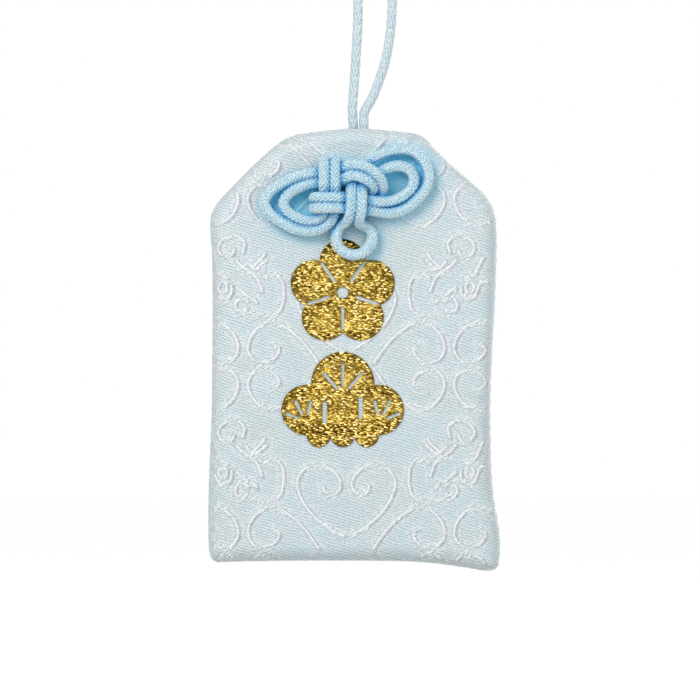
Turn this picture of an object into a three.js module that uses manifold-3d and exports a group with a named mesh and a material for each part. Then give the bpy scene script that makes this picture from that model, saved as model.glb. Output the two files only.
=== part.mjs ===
// Omamori charm: a small brocade pouch with a double bow knot and a hanging loop of braided cord.
// Millimetres, +Z up, the front faces -Y. The origin is the top of the hanging loop.
import * as THREE from 'three';
import { mergeVertices } from 'three/addons/utils/BufferGeometryUtils.js';
import Module from 'manifold-3d';

const wasm = await Module();
wasm.setup();

// Pouch outline, heights measured down from the rim
const topHalfWidth = 9.9;
const shoulderHalfWidth = 22.3;
const waistHalfWidth = 21.6;
const bottomHalfWidth = 22.7;
const shoulderDrop = 12.4;
const pouchHeight = 67.4;
const cornerDrop = 0.9;
const topCornerTrim = 4.0;
const shoulderTrim = 3.2;
const bottomTrim = 1.4;
const outlineSteps = 6;
const arcSteps = 8;
const joinTolerance = 1e-6;

// Pouch walls
const pouchThickness = 6.2;
const edgeRounding = 2.5;
const roundingSteps = 3;
const fabricThickness = 0.6;
const seamGap = 0.5;
const mouthHalfWidth = 8.4;
const mouthGap = 2.8;
const interliningThickness = 0.3;
const interliningClearance = 0.2;
const interliningTopDrop = 3.0;
const threadDiameter = 0.25;
const threadInset = 0.35;

// What the pouch holds
const cardThickness = 0.8;
const cardHalfWidth = 19.6;
const cardTopDrop = 15.0;
const slipThickness = 0.8;
const slipWidth = 32.0;
const slipHeight = 41.0;
const wrapperWall = 0.25;
const wrapperClearance = 0.2;
const wrapperLip = 1.2;
const layerClearance = 0.3;

// Cord
const cordDiameter = 1.55;
const knotCordDiameter = 1.4;
const knotLayerPitch = 2.0;
const loopHeight = 60.0;
const strandClearance = 0.3;
const swingAxisRise = 2.1;
const cordSides = 8;

// Hole in the front that the cord comes out of, and the middle of the knot
const holeRadius = 2.25;
const holeX = -0.3;
const holeDrop = 7.35;
const knotX = -0.93;
const knotDrop = 10.1;

// Gold embroidery: a plum blossom above a pine crown
const embroideryX = -1.6;
const embroideryThickness = 0.35;
const embroiderySeat = 0.05;
const blossomDrop = 25.4;
const petalReach = 4.7;
const petalRadius = 3.6;
const petalCount = 5;
const blossomEyeRadius = 0.9;
const ornamentSpacing = 18.2;
const pineSideX = 5.6;
const pineSideRadius = 3.9;
const pineTopRise = 4.1;
const pineTopRadius = 4.9;
const pineFootScallops = 3;
const pineSlitHalfWidth = 0.25;
const pineSlitLength = 3.4;
const pineSlitStagger = 0.4;

const pineDrop = blossomDrop + ornamentSpacing;

const halfThickness = pouchThickness / 2;
const innerHalfDepth = halfThickness - fabricThickness;
const cordRadius = cordDiameter / 2;
const knotCordRadius = knotCordDiameter / 2;
const interliningFront = innerHalfDepth - interliningClearance;
const interliningBack = interliningFront - interliningThickness;
const knotBaseY = -(halfThickness + embroiderySeat + embroideryThickness + strandClearance + knotCordRadius);
const neckTopZ = swingAxisRise - cordRadius - strandClearance;

const brocade = new THREE.MeshStandardMaterial({ color: 0xd3e9f1, roughness: 0.55, metalness: 0 });
const lining = new THREE.MeshStandardMaterial({ color: 0xeef4f5, roughness: 0.9, metalness: 0 });
const sewingThread = new THREE.MeshStandardMaterial({ color: 0xd9edf4, roughness: 0.6, metalness: 0 });
const cardboard = new THREE.MeshStandardMaterial({ color: 0xcdbfa6, roughness: 0.9, metalness: 0 });
const paper = new THREE.MeshStandardMaterial({ color: 0xf3efe4, roughness: 0.85, metalness: 0 });
const cypress = new THREE.MeshStandardMaterial({ color: 0xe2c69a, roughness: 0.7, metalness: 0 });
const goldThread = new THREE.MeshStandardMaterial({ color: 0xc59a2a, roughness: 0.35, metalness: 0.8 });
const cord = new THREE.MeshStandardMaterial({ color: 0xbfe1f3, roughness: 0.5, metalness: 0 });

// Closed geometry to a solid and back
function solidOf(geometry) {
  const bare = geometry.index ? geometry.toNonIndexed() : geometry.clone();
  bare.deleteAttribute('normal');
  bare.deleteAttribute('uv');
  const merged = mergeVertices(bare, 1e-4);
  const vertProperties = new Float32Array(merged.attributes.position.array);
  const triVerts = new Uint32Array(merged.index.array);
  return new wasm.Manifold(new wasm.Mesh({ numProp: 3, vertProperties, triVerts }));
}

function geometryOf(solid) {
  const mesh = solid.getMesh();
  const geometry = new THREE.BufferGeometry();
  geometry.setAttribute('position', new THREE.BufferAttribute(new Float32Array(mesh.vertProperties), 3));
  geometry.setIndex(new THREE.BufferAttribute(new Uint32Array(mesh.triVerts), 1));
  geometry.computeVertexNormals();
  return geometry;
}

// Outline of the pouch drawn in by a margin: flat top, slanted shoulders, slight waist, flared corners
function pouchOutline(margin) {
  const slope = Math.atan2(shoulderDrop, shoulderHalfWidth - topHalfWidth);
  const topX = topHalfWidth - margin * Math.tan(slope / 2);
  const sideX = shoulderHalfWidth - margin;
  const sideZ = -shoulderDrop - margin * Math.tan((Math.PI / 2 - slope) / 2);
  const waistX = waistHalfWidth - margin;
  const footX = bottomHalfWidth - margin;
  const footZ = -pouchHeight - cornerDrop + margin;
  const middleZ = -pouchHeight + margin;
  const waistPull = 2 * waistX - (sideX + footX) / 2;
  const along = new THREE.Vector2(sideX - topX, sideZ + margin).normalize();
  const half = new THREE.Path();
  half.moveTo(0, -margin);
  half.lineTo(topX - topCornerTrim, -margin);
  half.quadraticCurveTo(topX, -margin, topX + along.x * topCornerTrim, -margin + along.y * topCornerTrim);
  half.lineTo(sideX - along.x * shoulderTrim, sideZ - along.y * shoulderTrim);
  half.quadraticCurveTo(sideX, sideZ, sideX, sideZ - shoulderTrim);
  half.quadraticCurveTo(waistPull, (sideZ + footZ) / 2, footX, footZ + bottomTrim);
  half.quadraticCurveTo(footX, footZ, footX - bottomTrim, footZ);
  half.quadraticCurveTo(footX / 2, middleZ, 0, middleZ);
  const right = half.getPoints(outlineSteps);
  const left = right.slice(1, -1).reverse().map((p) => new THREE.Vector2(-p.x, p.y));
  return [...right, ...left];
}

// Flat piece standing in the X-Z plane, from its front face at frontY back by its thickness
function sheet(shape, thickness, frontY) {
  const geometry = new THREE.ExtrudeGeometry(shape, {
    depth: thickness, bevelEnabled: false, curveSegments: arcSteps,
  });
  geometry.rotateX(Math.PI / 2);
  geometry.translate(0, frontY + thickness, 0);
  return geometry;
}

// Pouch form with rounded edges, centred on Y = 0: the outline is lofted through rings from front to back
function softSlab(margin, thickness, rounding) {
  const rings = [];
  for (const side of [-1, 1]) {
    for (let step = 0; step <= roundingSteps; step += 1) {
      const turn = (side < 0 ? step : roundingSteps - step) / roundingSteps * Math.PI / 2;
      rings.push({
        y: side * (thickness / 2 - rounding * (1 - Math.cos(turn))),
        points: pouchOutline(margin + rounding * (1 - Math.sin(turn))),
      });
    }
  }
  return loft(rings);
}

// Closed loft through rings of as many points each, with a fan on each end
function loft(rings) {
  const count = rings[0].points.length;
  const positions = [];
  const index = [];
  for (const { y, points } of rings) {
    points.forEach((p) => positions.push(p.x, y, p.y));
  }
  for (let ring = 0; ring + 1 < rings.length; ring += 1) {
    for (let i = 0; i < count; i += 1) {
      const a = ring * count + i;
      const b = ring * count + (i + 1) % count;
      index.push(a, b, b + count, a, b + count, a + count);
    }
  }
  for (const last of [false, true]) {
    const first = last ? (rings.length - 1) * count : 0;
    const centre = positions.length / 3;
    positions.push(0, rings[last ? rings.length - 1 : 0].y, -pouchHeight / 2);
    for (let i = 0; i < count; i += 1) {
      const a = first + i;
      const b = first + (i + 1) % count;
      index.push(...(last ? [centre, a, b] : [centre, b, a]));
    }
  }
  const geometry = new THREE.BufferGeometry();
  geometry.setAttribute('position', new THREE.Float32BufferAttribute(positions, 3));
  geometry.setIndex(index);
  geometry.computeVertexNormals();
  return geometry;
}

function block(width, depth, height, x, y, z) {
  const geometry = new THREE.BoxGeometry(width, depth, height);
  geometry.translate(x, y, z);
  return geometry;
}

function roundBar(radius, length, x, y, z) {
  const geometry = new THREE.CylinderGeometry(radius, radius, length, 24);
  geometry.translate(x, y, z);
  return geometry;
}

// Round cord along a smooth curve
function cordAlong(curve, diameter, steps, sides = cordSides) {
  const section = new THREE.Shape();
  section.absarc(0, 0, diameter / 2, 0, Math.PI * 2);
  curve.arcLengthDivisions = 2400;
  return new THREE.ExtrudeGeometry(section, {
    steps, extrudePath: curve, bevelEnabled: false, curveSegments: sides / 2,
  });
}

function smoothCurve(points) {
  return new THREE.CatmullRomCurve3(points, false, 'centripetal');
}

// Pouch: two shallow trays of brocade that meet at the seam, open along the mouth
const pouchBody = solidOf(softSlab(0, pouchThickness, edgeRounding));
const pouchHollow = solidOf(softSlab(
  fabricThickness, pouchThickness - 2 * fabricThickness, edgeRounding - fabricThickness));
const mouthHeight = 4 * edgeRounding;
const mouthSlot = solidOf(block(2 * mouthHalfWidth, mouthGap, mouthHeight, 0, 0, 0));
const cordHole = solidOf(roundBar(holeRadius, pouchThickness, holeX, -halfThickness, -holeDrop));
const pouchWall = pouchBody.subtract(pouchHollow).subtract(mouthSlot);
const cutterSize = 4 * pouchHeight;

function halfSpace(side) {
  return solidOf(block(cutterSize, cutterSize, cutterSize, 0, side * (cutterSize + seamGap) / 2, 0));
}

const frontPanel = geometryOf(pouchWall.intersect(halfSpace(-1)).subtract(cordHole));
const backPanel = geometryOf(pouchWall.intersect(halfSpace(1)));

// Stiff interlining behind each panel
const interliningMargin = fabricThickness + edgeRounding / 2;
const interliningTrimZ = cutterSize / 2 - interliningTopDrop;
const interliningTrim = solidOf(block(cutterSize, cutterSize, cutterSize, 0, 0, interliningTrimZ));
const interliningShape = new THREE.Shape(pouchOutline(interliningMargin));
const interliningBlank = (frontY) =>
  solidOf(sheet(interliningShape, interliningThickness, frontY)).subtract(interliningTrim);
const frontInterlining = geometryOf(interliningBlank(-interliningFront).subtract(cordHole));
const backInterlining = geometryOf(interliningBlank(interliningBack));

// One sewing thread runs in the seam from shoulder to shoulder round the foot
function seamRoute() {
  const below = pouchOutline(threadInset).filter((p) => p.y <= -shoulderDrop - shoulderTrim);
  return smoothCurve(below.map((p) => new THREE.Vector3(p.x, 0, p.y)));
}
const seamThread = cordAlong(seamRoute(), threadDiameter, 72, 6);

// Height of the pouch's rounded floor at a depth in front of or behind the seam
function floorAt(y) {
  const radius = edgeRounding - fabricThickness;
  const past = Math.max(0, Math.abs(y) - (innerHalfDepth - radius));
  return -pouchHeight + fabricThickness + radius - Math.sqrt(radius ** 2 - past ** 2);
}

// Card and prayer packet, from the front of the pouch to its back
const cardFrontY = -interliningBack + layerClearance;
const cardBottomZ = floorAt(cardFrontY) + layerClearance;
const cardShape = new THREE.Shape();
cardShape.moveTo(-cardHalfWidth, cardBottomZ);
cardShape.lineTo(cardHalfWidth, cardBottomZ);
cardShape.lineTo(cardHalfWidth, -cardTopDrop);
cardShape.lineTo(-cardHalfWidth, -cardTopDrop);
const stiffenerCard = sheet(cardShape, cardThickness, cardFrontY);

const packetThickness = slipThickness + 2 * (wrapperClearance + wrapperWall);
const packetY = cardFrontY + cardThickness + layerClearance + packetThickness / 2;
const wrapperWidth = slipWidth + 2 * (wrapperClearance + wrapperWall);
const wrapperHeight = slipHeight + wrapperLip + wrapperClearance + wrapperWall;
const wrapperBottomZ = floorAt(packetY + packetThickness / 2) + layerClearance;
const slipBottomZ = wrapperBottomZ + wrapperWall + wrapperClearance;
const wrapperOuter = solidOf(block(
  wrapperWidth, packetThickness, wrapperHeight, 0, packetY, wrapperBottomZ + wrapperHeight / 2));
const wrapperInner = solidOf(block(
  wrapperWidth - 2 * wrapperWall, packetThickness - 2 * wrapperWall, wrapperHeight,
  0, packetY, wrapperBottomZ + wrapperHeight / 2 + wrapperWall));
const prayerWrapper = geometryOf(wrapperOuter.subtract(wrapperInner));
const prayerSlip = block(slipWidth, slipThickness, slipHeight, 0, packetY, slipBottomZ + slipHeight / 2);

// Shape through the points of a drawn one, with arc ends that meet joined into one point
function joinedShape(drawn) {
  const points = drawn.getPoints(arcSteps);
  const apart = points.filter((p, i) => p.distanceTo(points[(i + 1) % points.length]) > joinTolerance);
  const shape = new THREE.Shape(apart);
  shape.holes = drawn.holes;
  return shape;
}

// Plum blossom: round petals about an open eye
function blossomShape() {
  const half = Math.PI / petalCount;
  const notch = petalReach * Math.cos(half)
    + Math.sqrt(petalRadius ** 2 - (petalReach * Math.sin(half)) ** 2);
  const spread = Math.atan2(notch * Math.sin(half), notch * Math.cos(half) - petalReach);
  const shape = new THREE.Shape();
  for (let i = 0; i < petalCount; i += 1) {
    const angle = Math.PI / 2 + i * 2 * half;
    const x = petalReach * Math.cos(angle);
    const z = petalReach * Math.sin(angle);
    shape.absarc(x, z, petalRadius, angle - spread, angle + spread, false);
  }
  const eye = new THREE.Path();
  eye.absarc(0, 0, blossomEyeRadius, 0, Math.PI * 2, true);
  shape.holes.push(eye);
  return joinedShape(shape);
}

// Pine crown: three round boughs over a scalloped foot, split by two slits
function pineShape() {
  const shape = new THREE.Shape();
  const meet = Math.atan2(pineTopRise, pineSideX);
  const reach = Math.hypot(pineSideX, pineTopRise);
  const sideTurn = Math.acos(
    (pineSideRadius ** 2 + reach ** 2 - pineTopRadius ** 2) / (2 * pineSideRadius * reach));
  const topTurn = Math.acos(
    (pineTopRadius ** 2 + reach ** 2 - pineSideRadius ** 2) / (2 * pineTopRadius * reach));
  shape.absarc(pineSideX, 0, pineSideRadius, -Math.PI / 2, Math.PI - meet - sideTurn, false);
  shape.absarc(0, pineTopRise, pineTopRadius, -meet + topTurn, Math.PI + meet - topTurn, false);
  shape.absarc(-pineSideX, 0, pineSideRadius, meet + sideTurn, Math.PI * 1.5, false);
  const footRadius = pineSideX / pineFootScallops;
  for (let i = 0; i < pineFootScallops; i += 1) {
    const x = -pineSideX + (2 * i + 1) * footRadius;
    shape.absarc(x, -pineSideRadius, footRadius, Math.PI, Math.PI * 2, false);
  }
  for (const side of [-1, 1]) {
    const slit = new THREE.Path();
    const x = side * pineSideX / 2;
    const foot = side * pineSlitStagger - pineSlitLength / 2;
    const head = foot + pineSlitLength;
    slit.moveTo(x - pineSlitHalfWidth, foot);
    slit.lineTo(x - pineSlitHalfWidth, head);
    slit.lineTo(x + pineSlitHalfWidth, head);
    slit.lineTo(x + pineSlitHalfWidth, foot);
    shape.holes.push(slit);
  }
  return joinedShape(shape);
}

const embroideryFrontY = -halfThickness - embroiderySeat - embroideryThickness;
const upperEmbroidery = sheet(blossomShape(), embroideryThickness, embroideryFrontY);
const lowerEmbroidery = sheet(pineShape(), embroideryThickness, embroideryFrontY);

// Hanging loop, up from the rim: x and height above the rim of the cord's centre line
const loopRoute = [
  [-0.15, swingAxisRise], [-0.15, 3.2], [0.1, 6], [0.45, 11], [0.75, 17], [0.8, 23], [0.5, 30], [-0.4, 37],
  [-1.7, 44], [-2.9, 50], [-3.5, 54.5], [-3.1, 58], [0, 60], [3.1, 58], [3.6, 54.5], [3.8, 50], [4.4, 44],
  [5.2, 37], [5.8, 30], [6.15, 23], [6.1, 19], [5.8, 15], [5.1, 11], [4.1, 7.8], [2.9, 4.8], [2.1, 3.4],
  [1.8, 2.7], [1.8, swingAxisRise],
];
const loopCurve = smoothCurve(loopRoute.map(([x, z]) => new THREE.Vector3(x, 0, z)));
const [loopStartX] = loopRoute[0];
const [loopEndX] = loopRoute[loopRoute.length - 1];

function roundEnd(x, z) {
  const ball = new THREE.SphereGeometry(cordRadius, cordSides, 6);
  ball.rotateX(Math.PI / 2);
  ball.translate(x, 0, z);
  return solidOf(ball);
}

const hangingLoop = geometryOf(solidOf(cordAlong(loopCurve, cordDiameter, 80))
  .add(roundEnd(loopStartX, swingAxisRise)).add(roundEnd(loopEndX, swingAxisRise)));

// Knot, drawn flat on the pouch: x, layer above the pouch face and height, from the middle of the knot.
// The cord comes out of the hole, runs the outer round of both ears, turns at the small lower loop and
// goes back by the inner round.
const outerRound = [
  [1.1, -1.2, 3.6], [1.1, -0.8, 3.6], [0.85, -0.3, 3.7], [0.1, 0, 4.05], [-0.9, 0, 4.5],
  [-1.5, 0.3, 4.85], [-1.85, 1, 5], [-1.85, 1.7, 4.75], [-1.85, 2, 4.05], [-1.85, 2, 2.65],
  [-1.85, 2, 1.65], [-1.85, 1.8, 0.95], [-1.85, 1.45, 0.5], [-1.85, 1.1, -0.15], [-1.85, 1, -1.25],
  [-1.85, 1, -2.45], [-2.15, 0.8, -3.65], [-2.95, 0.55, -4.7], [-4.35, 0.35, -5.5],
  [-6.15, 0.3, -5.8], [-7.9, 0.3, -5.5], [-9.6, 0.3, -4.7], [-11.2, 0.3, -3.7],
  [-12.35, 0.3, -2.55], [-12.8, 0.3, -1.3], [-12.2, 0.35, 0], [-10.7, 0.4, 1.2], [-8.85, 0.6, 2.2],
  [-6.85, 0.85, 2.85], [-4.95, 1, 3.2], [-3.5, 1, 3.3], [-1.85, 1, 3.35], [-1, 1.1, 3.5],
  [-0.15, 1.75, 4], [0.6, 2, 4.35], [1.8, 2, 4.3], [3.1, 2, 3.9], [4.35, 1.95, 3.05],
  [5.2, 1.6, 2.1], [5.5, 1, 1.1], [5.2, 0.25, 0.05], [4.4, 0.05, -1.1], [2.95, 0, -2.05],
  [0.75, 0, -2.45], [-1.4, 0, -2.45], [-3.5, 0, -2.45], [-4.65, 0.3, -2.4], [-5.1, 1, -2.35],
  [-4.65, 1.7, -2.3], [-3.5, 2, -2.25], [-2.15, 2.02, -2.25], [-1.3, 1.92, -2.25],
  [-0.6, 1.5, -2.3], [0.05, 1.08, -2.35], [0.95, 1, -2.45], [2.15, 1, -2.55], [3.7, 0.9, -2.65],
  [4.95, 0.6, -2.85], [6.65, 0.4, -3], [8.4, 0.35, -2.65], [9.95, 0.3, -1.75], [11.15, 0.3, -0.6],
  [12.25, 0.3, 0.85], [12.65, 0.3, 2.45], [12.4, 0.3, 4.05], [11.55, 0.3, 5.5], [10.3, 0.3, 6.5],
  [8.6, 0.35, 6.85], [6.6, 0.5, 6.6], [4.8, 0.75, 5.9], [3.35, 0.95, 5.05], [2, 1, 4.05],
  [1.15, 1, 3.05], [0.8, 1, 2.05], [0.7, 1.35, 1.1], [0.65, 1.9, 0.15], [0.65, 2, -0.75],
  [0.6, 2, -2.45], [0.4, 1.7, -3.55], [0, 1, -4.25], [-0.65, 0.45, -4.7], [-1.25, 0.1, -5.25],
  [-1.65, 0, -6.2], [-1.65, 0, -7.3], [-1.1, 0, -8.5], [0, 0, -9.25], [1.15, 0, -9.5],
];
const innerRound = [
  [0.15, -1.2, 1.9], [0.15, -0.8, 1.9], [-0.1, -0.4, 1.95], [-0.65, -0.05, 2.25], [-1.85, 0, 3.15],
  [-2.85, 0, 4], [-3.35, 0.25, 4.55], [-3.5, 1, 5], [-3.5, 1.7, 4.75], [-3.5, 2, 4.05],
  [-3.5, 2, 2.65], [-3.5, 2, 1.65], [-3.5, 1.8, 0.95], [-3.5, 1.45, 0.5], [-3.5, 1.1, -0.15],
  [-3.5, 1, -1.25], [-3.5, 1, -2.3], [-3.8, 0.9, -3.25], [-4.65, 0.7, -3.9], [-6.15, 0.5, -4.1],
  [-7.9, 0.35, -3.65], [-9.25, 0.3, -2.75], [-9.85, 0.3, -1.6], [-9.4, 0.35, -0.45],
  [-8.25, 0.5, 0.55], [-6.65, 0.8, 1.2], [-4.95, 1, 1.6], [-3.5, 1, 1.7], [-1.85, 1, 1.75],
  [-1, 1.15, 1.95], [-0.15, 1.85, 2.4], [0.6, 2, 2.7], [1.7, 2, 2.6], [2.85, 2, 2.1],
  [3.65, 1.75, 1.6], [4.05, 1.25, 0.95], [3.7, 0.65, 0.4], [2.85, 0.15, -0.15], [1.1, 0.02, -0.65],
  [-1.4, 0, -0.75], [-3.5, 0, -0.75], [-4.65, 0.3, -0.75], [-5.1, 1, -0.7], [-4.65, 1.7, -0.65],
  [-3.5, 2, -0.65], [-2.15, 2.02, -0.65], [-1.3, 1.92, -0.65], [-0.6, 1.5, -0.65],
  [0.05, 1.08, -0.75], [0.95, 1, -0.85], [2.15, 1, -1], [3.55, 1, -1.1], [4.8, 0.95, -1.25],
  [6.35, 0.6, -1.2], [7.85, 0.4, -0.8], [9.2, 0.3, 0], [10.15, 0.3, 1.1], [10.4, 0.3, 2.35],
  [9.85, 0.35, 3.5], [8.6, 0.5, 4.2], [7.15, 0.7, 4.2], [5.8, 0.9, 3.7], [4.65, 1, 3.1],
  [3.4, 1, 2.35], [2.6, 1, 1.5], [2.25, 1.4, 0.7], [2.25, 1.9, -0.15], [2.2, 2, -1.25],
  [2.15, 2, -2.8], [1.95, 1.7, -3.7], [1.8, 1, -4.4], [2.3, 0.42, -4.8], [3.05, 0.08, -5.1],
  [3.7, 0, -5.75], [3.95, 0, -6.65], [3.65, 0, -7.9], [2.65, 0, -9],
];
const knotPoint = ([x, layer, z]) =>
  new THREE.Vector3(knotX + x, knotBaseY - layer * knotLayerPitch, z - knotDrop);
const knotCurve = smoothCurve([...outerRound, ...innerRound.toReversed()].map(knotPoint));
const bowKnot = cordAlong(knotCurve, knotCordDiameter, 300);

function leastGapToItself(curve, diameter) {
  const count = 900;
  const points = curve.getSpacedPoints(count);
  const apart = Math.ceil(count * 2.2 * diameter / curve.getLength());
  let least = Infinity;
  for (let i = 0; i <= count; i += 1) {
    for (let j = i + apart; j <= count; j += 1) {
      least = Math.min(least, points[i].distanceTo(points[j]));
    }
  }
  return least - diameter;
}
console.log('least gap of the knot to itself, mm:', leastGapToItself(knotCurve, knotCordDiameter).toFixed(2));

// Neck strands: from the mouth down inside the pouch and forward to the hole
const [outerHoleX, , outerHoleZ] = outerRound[0];
const [innerHoleX, , innerHoleZ] = innerRound[0];
const knotEndY = knotPoint(outerRound[0]).y;
const neckEndY = knotEndY + strandClearance;
const rightHole = new THREE.Vector3(knotX + outerHoleX, neckEndY, outerHoleZ - knotDrop);
const leftHole = new THREE.Vector3(knotX + innerHoleX, neckEndY, innerHoleZ - knotDrop);
const leftNeckCurve = smoothCurve([
  new THREE.Vector3(loopStartX, 0, neckTopZ),
  new THREE.Vector3(loopStartX, 0, -0.8),
  new THREE.Vector3(-0.8, 0.3, -2.9),
  new THREE.Vector3(-1.6, 0.5, -5.2),
  new THREE.Vector3(-1.6, 0.3, -7.2),
  new THREE.Vector3(-1.05, -0.5, leftHole.z),
  leftHole.clone().add(new THREE.Vector3(0, 0.45, 0)),
  leftHole,
]);
const rightNeckCurve = smoothCurve([
  new THREE.Vector3(loopEndX, 0, neckTopZ),
  new THREE.Vector3(loopEndX, 0, -0.8),
  new THREE.Vector3(1.45, 0.3, -2.6),
  new THREE.Vector3(0.85, 0.3, -4.6),
  new THREE.Vector3(0.4, -0.3, -6.1),
  new THREE.Vector3(rightHole.x, -0.95, rightHole.z),
  rightHole.clone().add(new THREE.Vector3(0, 0.4, 0)),
  rightHole,
]);
const leftNeckStrand = cordAlong(leftNeckCurve, cordDiameter, 16);
const rightNeckStrand = cordAlong(rightNeckCurve, cordDiameter, 16);

// Scene: everything hangs below the origin, the rim a loop's height down
const charm = new THREE.Group();
const rim = new THREE.Group();
rim.position.z = -loopHeight;
charm.add(rim);

function place(name, geometry, material, x = 0, z = 0) {
  const mesh = new THREE.Mesh(geometry, material);
  mesh.name = name;
  mesh.position.set(x, 0, z);
  rim.add(mesh);
}

place('front_panel', frontPanel, brocade);
place('back_panel', backPanel, brocade);
place('front_interlining', frontInterlining, lining);
place('back_interlining', backInterlining, lining);
place('seam_thread', seamThread, sewingThread);
place('stiffener_card', stiffenerCard, cardboard);
place('prayer_wrapper', prayerWrapper, paper);
place('prayer_slip', prayerSlip, cypress);
place('upper_embroidery', upperEmbroidery, goldThread, embroideryX, -blossomDrop);
place('lower_embroidery', lowerEmbroidery, goldThread, embroideryX, -pineDrop);
place('hanging_loop', hangingLoop, cord);
place('left_neck_strand', leftNeckStrand, cord);
place('right_neck_strand', rightNeckStrand, cord);
place('bow_knot', bowKnot, cord);

export default charm;
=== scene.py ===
import logging
import math
from collections.abc import Iterator
from contextlib import contextmanager
from dataclasses import dataclass
from enum import Enum
from typing import Any, NamedTuple, Sequence

import bmesh
import bpy
import numpy as np
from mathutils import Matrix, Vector, kdtree, noise
from mathutils.geometry import tessellate_polygon


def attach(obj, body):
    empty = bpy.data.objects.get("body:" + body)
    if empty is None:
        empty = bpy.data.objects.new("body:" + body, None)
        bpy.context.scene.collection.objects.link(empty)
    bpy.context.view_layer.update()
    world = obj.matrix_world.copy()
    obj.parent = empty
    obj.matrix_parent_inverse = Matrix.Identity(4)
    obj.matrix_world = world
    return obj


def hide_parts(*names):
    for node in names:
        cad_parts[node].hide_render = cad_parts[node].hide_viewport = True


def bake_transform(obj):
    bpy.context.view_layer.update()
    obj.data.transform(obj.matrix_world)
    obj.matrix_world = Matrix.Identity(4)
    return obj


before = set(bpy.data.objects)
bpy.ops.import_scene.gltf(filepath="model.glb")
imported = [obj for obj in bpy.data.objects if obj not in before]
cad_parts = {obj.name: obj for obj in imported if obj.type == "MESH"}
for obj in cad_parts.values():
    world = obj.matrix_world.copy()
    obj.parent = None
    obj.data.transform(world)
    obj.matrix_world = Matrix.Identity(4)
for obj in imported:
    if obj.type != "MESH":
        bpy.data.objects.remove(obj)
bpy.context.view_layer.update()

log = logging.getLogger("charm")

# Lengths are in millimetres and heights are above the pouch's rim, unless a docstring says otherwise.
MM = 0.001
RIM_HEIGHT = -60.0
FRONT_FACE = 3.1
FLAT_EDGE = 1e-4
CURVE_STEPS = 24
BATCH = 4000

Triple = tuple[float, float, float]
Colour = Triple
Span = tuple[float, float]
Route = Sequence[tuple[float, ...]]
Array = np.ndarray
Mesh = bpy.types.Mesh
Material = bpy.types.Material
Piece = bpy.types.Object
Socket = bpy.types.NodeSocket


class Body(Enum):
    """The bodies that pieces ride on."""

    HANGER = "hanger"
    NECK = "neck"
    POUCH = "pouch"
    BOW = "bow"


class Slot(Enum):
    """The record's material slots."""

    BROCADE = "brocade"
    INTERLINING = "interlining"
    SEWING_THREAD = "sewing_thread"
    CARD = "card"
    PAPER = "paper"
    CYPRESS = "cypress"
    GOLD_THREAD = "gold_thread"
    CORD = "cord"


class Side(Enum):
    """The two faces of the pouch, by the sign of their depth."""

    FRONT = -1
    BACK = 1


def to_frame(points: Array) -> Array:
    """Moves rows of x, y and height above the rim, in millimetres, to metres in the row frame."""
    return (np.asarray(points, float) + (0.0, 0.0, RIM_HEIGHT)) * MM


def from_frame(points: Array) -> Array:
    """Moves points from metres in the row frame to millimetres about the rim."""
    return points / MM - (0.0, 0.0, RIM_HEIGHT)


def spot(x: float, y: float, z: float) -> Array:
    """One place about the rim, moved to metres in the row frame."""
    return to_frame([(x, y, z)])[0]


def stand(places: Array, depth: Any) -> Array:
    """Gives flat places, which are x and height, their depth along y."""
    return np.stack([places[:, 0], np.broadcast_to(depth, len(places)), places[:, 1]], axis=1)


def smooth_step(low: float, high: float, value: Array) -> Array:
    """Rises smoothly from 0 at low to 1 at high."""
    t = np.clip((value - low) / (high - low), 0.0, 1.0)
    return t * t * (3.0 - 2.0 * t)


def even_points(points: Array, count: int) -> Array:
    """Spaces points evenly along a polyline, from its first point to its last.

    Args:
        points: Points of the polyline.
        count: How many points to return.

    Returns:
        The evenly spaced points.
    """
    steps = np.linalg.norm(np.diff(points, axis=0), axis=1)
    along = np.concatenate([[0.0], np.cumsum(steps)])
    targets = np.linspace(0.0, along[-1], count)
    return np.stack([np.interp(targets, along, axis) for axis in points.T], axis=1)


def smooth_route(route: Route, count: int) -> Array:
    """Runs a centripetal curve through given points.

    Args:
        route: The points that the curve passes.
        count: How many evenly spaced points to return.

    Returns:
        Evenly spaced points on the curve.
    """
    points = np.asarray(route, float)
    padded = np.vstack([2 * points[0] - points[1], points, 2 * points[-1] - points[-2]])
    share = np.linspace(0.0, 1.0, CURVE_STEPS, endpoint=False)[:, None]
    pieces = []
    for i in range(len(points) - 1):
        a, b, c, d = padded[i : i + 4]
        gaps = [max(np.linalg.norm(q - p) ** 0.5, 1e-6) for p, q in ((a, b), (b, c), (c, d))]
        into = gaps[1] * ((b - a) / gaps[0] - (c - a) / (gaps[0] + gaps[1]) + (c - b) / gaps[1])
        out = gaps[1] * ((c - b) / gaps[1] - (d - b) / (gaps[1] + gaps[2]) + (d - c) / gaps[2])
        cubic = 2 * b - 2 * c + into + out
        square = -3 * b + 3 * c - 2 * into - out
        pieces.append(((cubic * share + square) * share + into) * share + b)
    pieces.append(points[-1:])
    return even_points(np.vstack(pieces), count)


def route_length(points: Array) -> float:
    """Length of a polyline."""
    return float(np.linalg.norm(np.diff(points, axis=0), axis=1).sum())


def inside_outline(places: Array, outline: Array) -> Array:
    """Tells which flat places lie inside a closed outline.

    Args:
        places: x and height of each place.
        outline: The outline's corners in order.

    Returns:
        True for each place inside.
    """
    inside = np.zeros(len(places), bool)
    for (ax, az), (bx, bz) in zip(outline, np.roll(outline, -1, axis=0)):
        spans = (az > places[:, 1]) != (bz > places[:, 1])
        crossing = ax + (places[:, 1] - az) / (bz - az if bz != az else 1e-9) * (bx - ax)
        inside ^= spans & (places[:, 0] < crossing)
    return inside


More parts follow.
